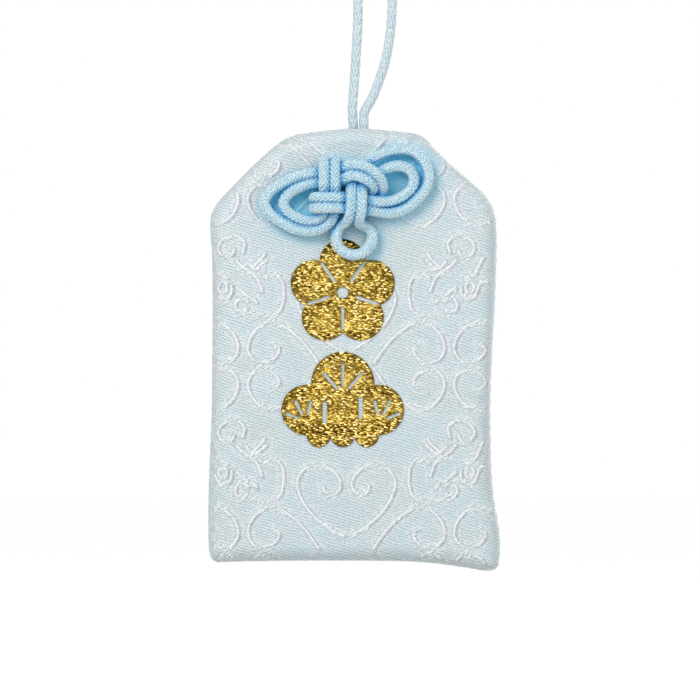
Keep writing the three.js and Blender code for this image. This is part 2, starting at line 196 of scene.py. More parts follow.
def soft_noise(places: Array, scale: Triple, shift: float = 0.0) -> Array:
    """Soft noise at flat places; scale has its waves to the millimetre across and up, and its layer."""
    return np.array([noise.noise((x * scale[0] + shift, z * scale[1], scale[2])) for x, z in places])


def grid_faces(rows: int, columns: int) -> Array:
    """Corner numbers of the four-sided faces between the points of a grid, which run row by row."""
    numbers = np.arange(rows * columns).reshape(rows, columns)
    corners = (numbers[:-1, :-1], numbers[1:, :-1], numbers[1:, 1:], numbers[:-1, 1:])
    return np.stack(corners, axis=2).reshape(-1, 4)


def add_object(name: str, data: bpy.types.ID) -> Piece:
    """Links an object for the given data."""
    obj = bpy.data.objects.new(name, data)
    bpy.context.scene.collection.objects.link(obj)
    return obj


def add_mesh(name: str, points: Array, faces: Sequence[Sequence[int]]) -> Piece:
    """Makes a smooth-shaded mesh object at the origin.

    Args:
        name: Its name.
        points: Places in the row frame, in metres.
        faces: Corner numbers of each face.

    Returns:
        The object.
    """
    mesh = bpy.data.meshes.new(name)
    mesh.from_pydata([tuple(p) for p in points], [], [list(f) for f in faces])
    mesh.polygons.foreach_set("use_smooth", [True] * len(mesh.polygons))
    mesh.update()
    return add_object(name, mesh)


def add_lines(name: str, lines: Sequence[Array]) -> Piece:
    """Makes a curve object of straight-edged lines.

    Args:
        name: Its name.
        lines: Places along each line in the row frame, in metres.

    Returns:
        The object.
    """
    data = bpy.data.curves.new(name, "CURVE")
    data.dimensions = "3D"
    for line in lines:
        spline = data.splines.new("POLY")
        spline.points.add(len(line) - 1)
        spline.points.foreach_set("co", np.hstack([line, np.ones((len(line), 1))]).ravel())
    return add_object(name, data)


def vertex_rows(mesh: Mesh, field: str = "co") -> Array:
    """Reads the place or the normal of each vertex."""
    numbers = np.empty(len(mesh.vertices) * 3)
    mesh.vertices.foreach_get(field, numbers)
    return numbers.reshape(-1, 3)


def set_point_values(mesh: Mesh, name: str, values: Array) -> None:
    """Writes one number per vertex to a named attribute."""
    attribute = mesh.attributes.get(name) or mesh.attributes.new(name, "FLOAT", "POINT")
    attribute.data.foreach_set("value", np.asarray(values, np.float32))


@contextmanager
def edited(mesh: Mesh) -> Iterator[bmesh.types.BMesh]:
    """Opens a mesh for edits of its faces and corners, and writes it back."""
    work = bmesh.new()
    work.from_mesh(mesh)
    yield work
    work.to_mesh(mesh)
    work.free()


def final_mesh(obj: Piece) -> Mesh:
    """A plain mesh of an object as its modifiers leave it."""
    depsgraph = bpy.context.evaluated_depsgraph_get()
    return bpy.data.meshes.new_from_object(obj.evaluated_get(depsgraph))


def thicken(obj: Piece, thickness: float) -> None:
    """Gives a sheet its thickness behind its outer face, and drops faces of no area.

    Args:
        obj: The sheet.
        thickness: Its thickness.
    """
    wall = obj.modifiers.new("wall", "SOLIDIFY")
    wall.thickness = thickness * MM
    wall.offset = -1.0
    made = final_mesh(obj)
    obj.modifiers.clear()
    obj.data = made
    with edited(made) as work:
        bmesh.ops.dissolve_degenerate(work, dist=FLAT_EDGE * MM, edges=work.edges)


def dress(obj: Piece, material: Material) -> None:
    """Gives a piece its finish."""
    obj.data.materials.clear()
    obj.data.materials.append(material)


class NodeTree:
    """A node tree with short calls for its nodes, links and sums."""

    def __init__(self, tree: bpy.types.NodeTree) -> None:
        """Wraps a tree that is still to be filled."""
        self.tree = tree

    def add(self, kind: str, inputs: dict[Any, Any] | None = None, **settings: Any) -> bpy.types.Node:
        """Adds a node.

        Args:
            kind: Blender's name of the node type.
            inputs: Sockets by name or number, each with a value or an output to link.
            **settings: Properties of the node.

        Returns:
            The new node.
        """
        node = self.tree.nodes.new(kind)
        for key, value in settings.items():
            setattr(node, key, value)
        for key, value in (inputs or {}).items():
            self.feed(node.inputs[key], value)
        return node

    def out(self, kind: str, inputs: dict[Any, Any] | None = None, **settings: Any) -> Socket:
        """Adds a node as add does, and gives its first output."""
        return self.add(kind, inputs, **settings).outputs[0]

    def feed(self, socket: Socket, value: Any) -> None:
        """Links an output to a socket, or sets the socket's own value."""
        if isinstance(value, Socket):
            self.tree.links.new(value, socket)
        else:
            socket.default_value = value

    def math(self, operation: str, *values: Any) -> Socket:
        """Adds a sum of one to three numbers and gives its result."""
        return self.out("ShaderNodeMath", dict(enumerate(values)), operation=operation)

    def largest(self, *values: Any) -> Socket:
        """The largest of two or more numbers."""
        found = values[0]
        for value in values[1:]:
            found = self.math("MAXIMUM", found, value)
        return found

    def vector_math(self, operation: str, *values: Any) -> Socket:
        """Adds a sum of vectors and gives the vector that comes out."""
        return self.out("ShaderNodeVectorMath", dict(enumerate(values)), operation=operation)

    def scaled(self, vector: Any, factor: Any) -> Socket:
        """Multiplies a vector by a number."""
        return self.out("ShaderNodeVectorMath", {0: vector, "Scale": factor}, operation="SCALE")

    def vector(self, x: Any, y: Any, z: Any) -> Socket:
        """Joins three numbers to a vector."""
        return self.out("ShaderNodeCombineXYZ", {0: x, 1: y, 2: z})

    def split(self, vector: Any) -> list[Socket]:
        """Takes a vector apart into its three numbers."""
        return list(self.add("ShaderNodeSeparateXYZ", {0: vector}).outputs)


class GeometryTree(NodeTree):
    """A Geometry Nodes tree with named inputs, which ends in one material."""

    def __init__(self, name: str, numbers: Sequence[str], others: dict[str, str] | None = None) -> None:
        """Starts the tree.

        Args:
            name: Name of the tree.
            numbers: Names of the inputs that are plain numbers.
            others: Names of further inputs, each with its socket type.
        """
        super().__init__(bpy.data.node_groups.new(name, "GeometryNodeTree"))
        kinds = {"Geometry": "NodeSocketGeometry", **dict.fromkeys(numbers, "NodeSocketFloat")}
        kinds |= {**(others or {}), "Material": "NodeSocketMaterial"}
        for label, kind in kinds.items():
            self.tree.interface.new_socket(label, in_out="INPUT", socket_type=kind)
        self.tree.interface.new_socket("Geometry", in_out="OUTPUT", socket_type="NodeSocketGeometry")
        self.given = self.add("NodeGroupInput").outputs

    def random(self, low: Any, high: Any, seed: int) -> Socket:
        """A random number for each element, the same on each run."""
        inputs = {"Seed": seed, 2: low, 3: high}
        return self.add("FunctionNodeRandomValue", inputs, data_type="FLOAT").outputs[1]

    def around(self, reach: float, seed: int) -> Socket:
        """A random number for each element, as far below 0 as above."""
        return self.random(-reach, reach, seed)

    def store(self, geometry: Socket, kind: str, name: str, value: Any) -> Socket:
        """Keeps a value for each element of a geometry under a name."""
        inputs = {0: geometry, "Name": name, "Value": value}
        return self.out("GeometryNodeStoreNamedAttribute", inputs, data_type=kind)

    def read(self, kind: str, name: str) -> Socket:
        """The value that is kept under a name."""
        return self.out("GeometryNodeInputNamedAttribute", {"Name": name}, data_type=kind)

    def drop(self, geometry: Socket, *names: str) -> Socket:
        """Forgets the values that are kept under names."""
        for name in names:
            geometry = self.out("GeometryNodeRemoveAttribute", {0: geometry, "Name": name})
        return geometry

    def join(self, *parts: Socket) -> Socket:
        """Joins geometries to one."""
        node = self.add("GeometryNodeJoinGeometry")
        for part in parts:
            self.tree.links.new(part, node.inputs[0])
        return node.outputs[0]

    def section(self, corners: int, size: Socket) -> Socket:
        """A ring to draw along a curve, 1 across before a vector scales it."""
        ring = self.out("GeometryNodeCurvePrimitiveCircle", {"Resolution": corners, "Radius": 0.5})
        return self.out("GeometryNodeTransform", {0: ring, "Scale": size})

    def bead(self, segments: int, rings: int, turn: float = 0.0) -> Socket:
        """A ball 1 across with its poles along z, or turned from there about y."""
        ball = self.out("GeometryNodeMeshUVSphere", {"Segments": segments, "Rings": rings, "Radius": 0.5})
        return self.out("GeometryNodeTransform", {0: ball, "Rotation": (0.0, turn, 0.0)})

    def stitch(self, points: Socket, bead: Socket, rotation: Socket, size: Socket) -> Socket:
        """Sets a turned and stretched bead on each point."""
        inputs = {0: points, "Instance": bead, "Rotation": rotation, "Scale": size}
        return self.out("GeometryNodeInstanceOnPoints", inputs)

    def close(self, geometry: Socket) -> None:
        """Ends the tree: instances made real, smooth shading and the material."""
        real = self.out("GeometryNodeRealizeInstances", {0: geometry})
        smooth = self.out("GeometryNodeSetShadeSmooth", {0: real})
        done = self.out("GeometryNodeSetMaterial", {0: smooth, "Material": self.given["Material"]})
        self.tree.links.new(done, self.add("NodeGroupOutput").inputs[0])

    def grow(
        self, source: Piece, name: str, lengths: dict[str, float], others: dict[str, Any]
    ) -> Piece:
        """Runs the tree on an object and keeps the result as a plain mesh.

        Args:
            source: The object that the tree reads; it is removed afterwards.
            name: Name of the new piece.
            lengths: The inputs that are lengths, by name.
            others: The other inputs by name.

        Returns:
            The new piece.
        """
        values = {label: length * MM for label, length in lengths.items()} | others
        modifier = source.modifiers.new("tree", "NODES")
        modifier.node_group = self.tree
        for item in self.tree.interface.items_tree:
            if item.in_out == "INPUT" and item.name in values:
                modifier[item.identifier] = values[item.name]
        mesh = final_mesh(source)
        bpy.data.objects.remove(source)
        return add_object(name, mesh)


class Shader(NodeTree):
    """A material's tree round one Principled shader."""

    def __init__(self, name: str, **settings: Any) -> None:
        """Starts the material.

        Args:
            name: Name of the material.
            **settings: Values of the Principled shader's sockets, with _ for a space.
        """
        self.material = bpy.data.materials.new(name)
        self.material.use_nodes = True
        super().__init__(self.material.node_tree)
        self.surface = self.tree.nodes["Principled BSDF"]
        for key, value in settings.items():
            self.surface.inputs[key.replace("_", " ")].default_value = value

    def place(self) -> Socket:
        """The point's place in the row frame, in millimetres."""
        found = self.add("ShaderNodeTexCoord").outputs["Object"]
        return self.scaled(found, 1.0 / MM)

    def cloth_place(self) -> Socket:
        """The point's place on the cloth."""
        return self.scaled(self.out("ShaderNodeUVMap", uv_map="cloth"), 1.0 / MM)

    def value(self, name: str) -> Socket:
        """A number that the mesh carries."""
        return self.add("ShaderNodeAttribute", attribute_name=name).outputs["Fac"]

    def noise(self, place: Any, scale: float, detail: float = 2.0) -> Socket:
        """Cloudy numbers from 0 to 1, with scale as the number of clouds to the millimetre."""
        inputs = {"Vector": place, "Scale": scale, "Detail": detail}
        return self.add("ShaderNodeTexNoise", inputs).outputs["Fac"]

    def ramp(self, factor: Any, low: float, high: float) -> Socket:
        """Stretches the part of a number between low and high to 0 and 1."""
        inputs = {"Value": factor, "From Min": low, "From Max": high}
        return self.add("ShaderNodeMapRange", inputs).outputs["Result"]

    def mix(self, factor: Any, a: Any, b: Any) -> Socket:
        """Mixes two colours.

        Args:
            factor: 0 for the first and 1 for the second.
            a: The first colour.
            b: The second colour.

        Returns:
            The mixed colour.
        """
        node = self.add("ShaderNodeMix", data_type="RGBA")
        self.feed(node.inputs["Factor"], factor)
        for socket, value in zip((node.inputs[6], node.inputs[7]), (a, b)):
            self.feed(socket, (*value, 1.0) if isinstance(value, tuple) else value)
        return node.outputs[2]

    def colour(self, socket: Socket) -> None:
        """Links the surface's colour."""
        self.feed(self.surface.inputs["Base Color"], socket)

    def bump(self, height: Any, depth: float, strength: float) -> None:
        """Raises the surface by a height from 0 to 1, times a depth in millimetres."""
        inputs = {"Height": height, "Distance": depth * MM, "Strength": strength}
        self.feed(self.surface.inputs["Normal"], self.out("ShaderNodeBump", inputs))


@dataclass(frozen=True)
class BrocadeFinish:
    """Satin ground with fine twill lines and white figured floats."""

    # The twill's lines: partly the weave's own pattern, partly painted shade in the hollows and painted
    # light on the ridges.
    hollow: Colour = (0.38, 0.47, 0.49)
    ridge: Colour = (0.74, 0.80, 0.81)
    cool: Colour = (0.32, 0.52, 0.60)
    warm: Colour = (0.80, 0.80, 0.82)
    # Painted shade that darkens the ground along the figure's lines.
    line_shade: Colour = (0.41, 0.51, 0.54)
    # Painted shadow colour: the dark line beside each white line, also the floats' darker flecks.
    shaded: Colour = (0.38, 0.41, 0.47)
    white: Colour = (0.81, 0.845, 0.86)
    # Painted shade and blue bounced light from the bow's cord, mixed over the front cloth and its floats.
    lee: Colour = (0.13, 0.70, 1.0)
    twill_pitch: float = 0.46
    twill_slope: float = 0.3
    twill_wander: float = 0.6
    twill_share: float = 0.8
    yarn_pitch: float = 0.8
    yarn_share: float = 0.35
    speck_share: float = 4.4
    level_span: Span = (-1.3, 1.4)
    tint_span: Span = (0.36, 0.66)
    tint_share: float = 0.6
    bloom_span: Span = (0.42, 0.6)
    bloom_share: float = 0.75
    line_shade_share: float = 0.45
    fleck_share: float = 2.2

    def ground(self) -> Material:
        """Makes the woven ground of the panels.

        Returns:
            The material.
        """
        shader = Shader("brocade", Roughness=0.5, Sheen_Weight=0.2, Sheen_Roughness=0.4)
        place = shader.cloth_place()
        across, along, _ = shader.split(place)
        wander = shader.math("MULTIPLY", shader.noise(place, 0.5, 3.0), self.twill_wander)
        falling = shader.math("MULTIPLY_ADD", across, self.twill_slope, along)
        row = shader.math("ADD", falling, wander)
        turns = shader.math("MULTIPLY", row, math.tau / self.twill_pitch)
        yarn = shader.math("MULTIPLY_ADD", across, math.tau / self.yarn_pitch, turns)
        float_line = shader.math("MULTIPLY", shader.math("SINE", yarn), self.yarn_share)
        twill = shader.math("MULTIPLY_ADD", shader.math("SINE", turns), self.twill_share, float_line)
        speck = shader.math("SUBTRACT", shader.noise(place, 3.6), 0.5)
        level = shader.ramp(shader.math("MULTIPLY_ADD", speck, self.speck_share, twill), *self.level_span)
        tint = shader.ramp(shader.noise(place, 0.09), *self.tint_span)
        strewn = shader.ramp(shader.noise(place, 1.7), *self.bloom_span)
        blush = shader.math("MULTIPLY", shader.value("bloom"), strewn)
        hollow = shader.mix(shader.math("MULTIPLY", tint, self.tint_share), self.hollow, self.cool)
        # The twill tone follows the bumped relief: painted shade in hollows and painted light on ridges,
        # over the weave's pattern.
        woven = shader.mix(level, hollow, self.ridge)
        woven = shader.mix(shader.math("MULTIPLY", blush, self.bloom_share), woven, self.warm)
        # Painted shade along the figure's lines.
        marked = shader.math("MULTIPLY", shader.value("figure"), self.line_shade_share)
        lined = shader.mix(marked, woven, self.line_shade)
        # The bow's painted shade and blue bounced light over the ground.
        shader.colour(shader.mix(shader.value("lee"), lined, self.lee))
        shader.bump(level, 0.08, 0.8)
        return shader.material

    def floats(self) -> Material:
        """Makes the white floats of the figure.

        Returns:
            The material.
        """
        shader = Shader("brocade_float", Roughness=0.38, Sheen_Weight=0.2)
        place = shader.place()
        fleck = shader.math("SUBTRACT", shader.noise(place, 3.8), 0.5)
        pale = shader.math("MULTIPLY_ADD", fleck, self.fleck_share, shader.value("tone"))
        # Low tones take the painted shadow colour.
        open_float = shader.mix(pale, self.shaded, self.white)
        # The bow's painted shade and blue bounced light over the floats.
        shader.colour(shader.mix(shader.value("lee"), open_float, self.lee))
        shader.bump(shader.noise(place, 6.0), 0.04, 0.4)
        return shader.material


@dataclass(frozen=True)
class CordFinish:
    """Braided rayon: pale in the open, with painted deep blue shade where strands press together."""

    name: str = "braided_cord"
    pale: Colour = (0.67, 0.79, 0.83)
    soft: Colour = (0.35, 0.59, 0.70)
    # Painted shade colour for the creases: shadow with blue bounced light.
    crease_shade: Colour = (0.04, 0.40, 0.72)

    def material(self) -> Material:
        """Makes the cord's finish, with painted shade read from the crease numbers on the mesh.

        Returns:
            The material.
        """
        shader = Shader(self.name, Roughness=0.42, Sheen_Weight=0.3, Sheen_Roughness=0.35)
        place = shader.place()
        fleck = shader.ramp(shader.noise(place, 2.2), 0.3, 0.7)
        open_cord = shader.mix(fleck, self.soft, self.pale)
        # Painted shade in the creases.
        shader.colour(shader.mix(shader.value("crease"), open_cord, self.crease_shade))
        shader.bump(shader.noise(place, 14.0), 0.02, 0.35)
        return shader.material


@dataclass(frozen=True)
class GoldFinish:
    """Metallic thread, toned stitch by stitch: partly the foil's own unevenness, partly painted shade and
    glints.
    """

    dark: Colour = (0.15, 0.08, 0.008)
    bright: Colour = (0.93, 0.70, 0.16)
    # Painted glint colour for the brightest stitches.
    painted_glint: Colour = (1.0, 0.86, 0.42)
    body_span: Span = (0.5, 1.2)
    glint_span: Span = (1.15, 1.42)

    def material(self) -> Material:
        """Makes the thread's finish, read from the tone of each stitch.

        Returns:
            The material.
        """
        shader = Shader("gold_thread", Metallic=1.0)
        place = shader.place()
        foil = shader.noise(place, 3.2)
        shine = shader.math("ADD", shader.value("tone"), foil)
        # Random tone per stitch from dark to bright: partly painted shade, with painted glints on top.
        body = shader.mix(shader.ramp(shine, *self.body_span), self.dark, self.bright)
        shader.colour(shader.mix(shader.ramp(shine, *self.glint_span), body, self.painted_glint))
        rough = shader.math("MULTIPLY_ADD", foil, 0.25, 0.2)
        shader.feed(shader.surface.inputs["Roughness"], rough)
        shader.bump(shader.noise(place, 7.0), 0.06, 0.6)
        return shader.material


@dataclass(frozen=True)
class FibreFinish:
    """A dull fibrous finish in two close colours: felt, paper, card or sewing thread."""

    name: str
    dark: Colour
    light: Colour
    grain: float
    stretch: float = 1.0
    relief: float = 0.05

    def material(self) -> Material:
        """Makes the finish, with grain as the number of flecks to the millimetre.

        Returns:
            The material.
        """
        shader = Shader(self.name, Roughness=0.85)
        squeeze = {"Vector": shader.place(), "Scale": (1.0, 1.0, 1.0 / self.stretch)}
        place = shader.out("ShaderNodeMapping", squeeze)
        fine = shader.noise(place, self.grain, 4.0)
        broad = shader.noise(place, self.grain / 8.0)
        level = shader.ramp(shader.math("MULTIPLY_ADD", broad, 0.6, fine), 0.5, 1.1)
        shader.colour(shader.mix(level, self.dark, self.light))
        shader.bump(fine, self.relief, 0.5)
        return shader.material


@dataclass(frozen=True)
class Braid:
    """How one stretch of cord is braided, how deep its painted crease shade gets and whether it lies on the
    pouch.
    """

    diameter: float
    lay: float
    weave_depth: float
    yarn_width: float
    deepest_shade: float
    lies: bool
    finish: CordFinish


@dataclass
class Cord:
    """The one braided cord of the charm: the hanging loop with its neck, and the bow on the front."""

    hanging: Braid = Braid(
        diameter=1.55, lay=13.0, weave_depth=0.014, yarn_width=0.52, deepest_shade=0.3, lies=False,
        finish=CordFinish("open_cord", (0.63, 0.72, 0.75), (0.49, 0.63, 0.69), (0.12, 0.40, 0.58)),
    )
    knot: Braid = Braid(
        diameter=1.84, lay=5.0, weave_depth=0.055, yarn_width=0.44, deepest_shade=1.0, lies=True,
        finish=CordFinish(),
    )
    knot_x: float = -0.93
    knot_drop: float = 10.1
    knot_layer: float = 1.62
    knot_seat: float = 0.16
    knot_points: int = 800
    lower_loop_x: float = 1.8
    lower_loop_half: float = 4.0
    lower_loop_span: Span = (-5.5, -7.0)
    lower_loop_lift: float = 0.35
    hole_layer: float = -1.2
    hole_end: float = -2.1
    left_ear: tuple[int, int] = (16, 31)
    right_ear: tuple[int, int] = (56, 71)
    swing_axis: float = 2.1
    bend_reach: float = 3.2
    mouth_x: float = 0.825
    mouth_pinch: float = 0.15
    pinch_reach: float = 3.0
    loop_points: int = 600
    carriers: int = 8
    yarn_thickness: float = 0.26
    step: float = 0.25
    # Sizes of the painted crease shade: near strands, the hidden core and the cloth under the bow.
    crease_skip: float = 2.4
    crease_reach: float = 0.95
    crease_span: Span = (0.06, 0.55)
    core_share: float = 0.8
    core_crease: float = 0.8
    under_shade_share: float = 0.8
    left_neck: Route = (
        (-0.78, -1.825, -8.2), (-0.78, -1.375, -8.2), (-1.05, -0.5, -8.2), (-1.6, 0.3, -7.2),
        (-1.6, 0.5, -5.2), (-0.8, 0.3, -2.9), (-0.15, 0.0, -0.8),
    )
    right_neck: Route = (
        (1.8, 0.0, -0.8), (1.45, 0.3, -2.6), (0.85, 0.3, -4.6), (0.4, -0.3, -6.1),
        (0.17, -0.95, -6.5), (0.17, -1.425, -6.5), (0.17, -1.825, -6.5),
    )
    loop: Route = (
        (-0.15, 2.1), (-0.15, 3.2), (0.1, 6.0), (0.45, 11.0), (0.75, 17.0), (0.8, 23.0), (0.5, 30.0),
        (-0.4, 37.0), (-1.7, 44.0), (-2.9, 50.0), (-3.5, 54.5), (-3.1, 58.0), (0.0, 60.0), (3.1, 58.0),
        (3.6, 54.5), (3.8, 50.0), (4.4, 44.0), (5.2, 37.0), (5.8, 30.0), (6.15, 23.0), (6.1, 19.0),
        (5.8, 15.0), (5.1, 11.0), (4.1, 7.8), (2.9, 4.8), (2.1, 3.4), (1.8, 2.7), (1.8, 2.1),
    )
    outer_round: Route = (
        (1.1, -1.2, 3.6), (1.1, -0.8, 3.6), (0.85, -0.3, 3.7), (0.1, 0.0, 4.05), (-0.9, 0.0, 4.5),
        (-1.5, 0.3, 4.85), (-1.85, 1.0, 5.0), (-1.85, 1.7, 4.75), (-1.85, 2.0, 4.05), (-1.85, 2.0, 2.65),
        (-1.85, 2.0, 1.65), (-1.85, 1.8, 0.95), (-1.85, 1.45, 0.5), (-1.85, 1.1, -0.15), (-1.85, 1.0, -1.25),
        (-1.85, 1.0, -2.45), (-2.15, 0.8, -3.65), (-2.95, 0.55, -4.7), (-4.35, 0.35, -5.5),
        (-6.15, 0.3, -5.8), (-7.9, 0.3, -5.5), (-9.6, 0.3, -4.7), (-11.2, 0.3, -3.7), (-12.35, 0.3, -2.55),
        (-12.8, 0.3, -1.3), (-12.2, 0.35, 0.0), (-10.7, 0.4, 1.2), (-8.85, 0.6, 2.2), (-6.85, 0.85, 2.85),
        (-4.95, 1.0, 3.2), (-3.5, 1.0, 3.3), (-1.85, 1.0, 3.35), (-1.0, 1.1, 3.5), (-0.15, 1.75, 4.0),
        (0.6, 2.0, 4.35), (1.8, 2.0, 4.3), (3.1, 2.0, 3.9), (4.35, 1.95, 3.05), (5.2, 1.6, 2.1),
        (5.5, 1.0, 1.1), (5.2, 0.25, 0.05), (4.4, 0.05, -1.1), (2.95, 0.0, -2.05), (0.75, 0.0, -2.45),
        (-1.4, 0.0, -2.45), (-3.5, 0.0, -2.45), (-4.65, 0.3, -2.4), (-5.1, 1.0, -2.35), (-4.65, 1.7, -2.3),
        (-3.5, 2.0, -2.25), (-2.15, 2.02, -2.25), (-1.3, 1.92, -2.25), (-0.6, 1.5, -2.3),
        (0.05, 1.08, -2.35), (0.95, 1.0, -2.45), (2.15, 1.0, -2.55), (3.7, 0.9, -2.65), (4.95, 0.6, -2.85),
        (6.65, 0.4, -3.0), (8.4, 0.35, -2.65), (9.95, 0.3, -1.75), (11.15, 0.3, -0.6), (12.25, 0.3, 0.85),
        (12.65, 0.3, 2.45), (12.4, 0.3, 4.05), (11.55, 0.3, 5.5), (10.3, 0.3, 6.5), (8.6, 0.35, 6.85),
        (6.6, 0.5, 6.6), (4.8, 0.75, 5.9), (3.35, 0.95, 5.05), (2.0, 1.0, 4.05), (1.15, 1.0, 3.05),
        (0.8, 1.0, 2.05), (0.7, 1.35, 1.1), (0.65, 1.9, 0.15), (0.65, 2.0, -0.75), (0.6, 2.0, -2.45),
        (0.4, 1.7, -3.55), (0.0, 1.0, -4.25), (-0.65, 0.45, -4.7), (-1.25, 0.1, -5.25), (-1.65, 0.0, -6.2),
        (-1.65, 0.0, -7.3), (-1.1, 0.0, -8.5), (0.0, 0.0, -9.25), (1.15, 0.0, -9.5),
    )
    inner_round: Route = (
        (0.15, -1.2, 1.9), (0.15, -0.8, 1.9), (-0.1, -0.4, 1.95), (-0.65, -0.05, 2.25), (-1.85, 0.0, 3.15),
        (-2.85, 0.0, 4.0), (-3.35, 0.25, 4.55), (-3.5, 1.0, 5.0), (-3.5, 1.7, 4.75), (-3.5, 2.0, 4.05),
        (-3.5, 2.0, 2.65), (-3.5, 2.0, 1.65), (-3.5, 1.8, 0.95), (-3.5, 1.45, 0.5), (-3.5, 1.1, -0.15),
        (-3.5, 1.0, -1.25), (-3.5, 1.0, -2.3), (-3.8, 0.9, -3.25), (-4.65, 0.7, -3.9), (-6.15, 0.5, -4.1),
        (-7.9, 0.35, -3.65), (-9.25, 0.3, -2.75), (-9.85, 0.3, -1.6), (-9.4, 0.35, -0.45),
        (-8.25, 0.5, 0.55), (-6.65, 0.8, 1.2), (-4.95, 1.0, 1.6), (-3.5, 1.0, 1.7), (-1.85, 1.0, 1.75),
        (-1.0, 1.15, 1.95), (-0.15, 1.85, 2.4), (0.6, 2.0, 2.7), (1.7, 2.0, 2.6), (2.85, 2.0, 2.1),
        (3.65, 1.75, 1.6), (4.05, 1.25, 0.95), (3.7, 0.65, 0.4), (2.85, 0.15, -0.15), (1.1, 0.02, -0.65),
        (-1.4, 0.0, -0.75), (-3.5, 0.0, -0.75), (-4.65, 0.3, -0.75), (-5.1, 1.0, -0.7), (-4.65, 1.7, -0.65),
        (-3.5, 2.0, -0.65), (-2.15, 2.02, -0.65), (-1.3, 1.92, -0.65), (-0.6, 1.5, -0.65),
        (0.05, 1.08, -0.75), (0.95, 1.0, -0.85), (2.15, 1.0, -1.0), (3.55, 1.0, -1.1), (4.8, 0.95, -1.25),
        (6.35, 0.6, -1.2), (7.85, 0.4, -0.8), (9.2, 0.3, 0.0), (10.15, 0.3, 1.1), (10.4, 0.3, 2.35),
        (9.85, 0.35, 3.5), (8.6, 0.5, 4.2), (7.15, 0.7, 4.2), (5.8, 0.9, 3.7), (4.65, 1.0, 3.1),
        (3.4, 1.0, 2.35), (2.6, 1.0, 1.5), (2.25, 1.4, 0.7), (2.25, 1.9, -0.15), (2.2, 2.0, -1.25),
        (2.15, 2.0, -2.8), (1.95, 1.7, -3.7), (1.8, 1.0, -4.4), (2.3, 0.42, -4.8), (3.05, 0.08, -5.1),
        (3.7, 0.0, -5.75), (3.95, 0.0, -6.65), (3.65, 0.0, -7.9), (2.65, 0.0, -9.0),
    )

    def braid_tree(self) -> GeometryTree:
        """Builds the tree that braids two sets of yarns round a core along any curve.

        Returns:
            The tree, with the cord's sizes as its inputs.
        """
        numbers = ("Radius", "Lay", "Yarn width", "Yarn thickness", "Weave depth", "Step")
        tree = GeometryTree("braid", numbers, {"Carriers": "NodeSocketInt"})
        given = tree.given
        route = {0: given["Geometry"], "Length": given["Step"]}
        base = tree.out("GeometryNodeResampleCurve", route, mode="LENGTH")
        marks = {
            "lay_across": ("FLOAT_VECTOR", tree.out("GeometryNodeInputNormal")),
            "lay_ahead": ("FLOAT_VECTOR", tree.out("GeometryNodeInputTangent")),
            "lay_length": ("FLOAT", tree.add("GeometryNodeSplineParameter").outputs["Length"]),
        }
        for name, (kind, value) in marks.items():
            base = tree.store(base, kind, name, value)
        across, ahead, length = [tree.read(kind, name) for name, (kind, _) in marks.items()]
        twice = tree.math("MULTIPLY", given["Carriers"], 2.0)
        yarns = tree.add("GeometryNodeDuplicateElements", {0: base, "Amount": twice}, domain="SPLINE")
        number = yarns.outputs["Duplicate Index"]
        hand = tree.math("MULTIPLY_ADD", tree.math("MODULO", number, 2.0), 2.0, -1.0)
        order = tree.math("FLOOR", tree.math("DIVIDE", number, 2.0))
        start = tree.math("MULTIPLY", tree.math("DIVIDE", order, given["Carriers"]), math.tau)
        travel = tree.math("MULTIPLY", tree.math("DIVIDE", length, given["Lay"]), math.tau)
        angle = tree.math("MULTIPLY_ADD", hand, travel, start)
        columns = tree.math("MULTIPLY", angle, tree.math("DIVIDE", given["Carriers"], 2.0))
        swing = tree.math("MULTIPLY", hand, given["Weave depth"])
        lift = tree.math("MULTIPLY", tree.math("COSINE", columns), swing)
        reach = tree.math("ADD", given["Radius"], lift)
        side = tree.vector_math("CROSS_PRODUCT", ahead, across)
        by_across, by_side = [tree.math(wave, angle) for wave in ("COSINE", "SINE")]
        outward = tree.vector_math("ADD", tree.scaled(across, by_across), tree.scaled(side, by_side))
        wound = {0: yarns.outputs[0], "Offset": tree.scaled(outward, reach)}
        placed = tree.out("GeometryNodeSetPosition", wound)
        turned = tree.out("GeometryNodeSetCurveNormal", {0: placed, "Normal": outward}, mode="FREE")
        flat = tree.vector(given["Yarn thickness"], given["Yarn width"], 1.0)
        braid = tree.out("GeometryNodeCurveToMesh", {0: turned, 1: tree.section(5, flat)})
        core_radius = tree.math("SUBTRACT", given["Radius"], given["Weave depth"])
        ring = tree.out("GeometryNodeCurvePrimitiveCircle", {"Resolution": 8, "Radius": core_radius})
        core = tree.out("GeometryNodeCurveToMesh", {0: base, 1: ring})
        tree.close(tree.drop(tree.join(core, braid), *marks))
        return tree

    def braided(self, tree: GeometryTree, name: str, path: Array, braid: Braid) -> Piece:
        """Braids a stretch of cord and gives it its finish.

        Args:
            tree: The braiding tree.
            name: Name of the piece.
            path: The cord's middle line in the row frame, in metres.
            braid: How the stretch is braided and coloured.

        Returns:
            The braided piece.
        """
        material = braid.finish.material()
        thickness = self.yarn_thickness * (braid.diameter / self.knot.diameter)
        radius = (braid.diameter - thickness) / 2 - braid.weave_depth
        lengths = {
            "Radius": radius, "Lay": braid.lay, "Yarn width": braid.yarn_width, "Yarn thickness": thickness,
            "Weave depth": braid.weave_depth, "Step": self.step,
        }
        others = {"Carriers": self.carriers, "Material": material}
        obj = tree.grow(add_lines(name + "_line", [path]), name, lengths, others)
        self.paint_crease_shade(obj.data, path[::2] / MM, braid)
        dress(obj, material)
        return obj

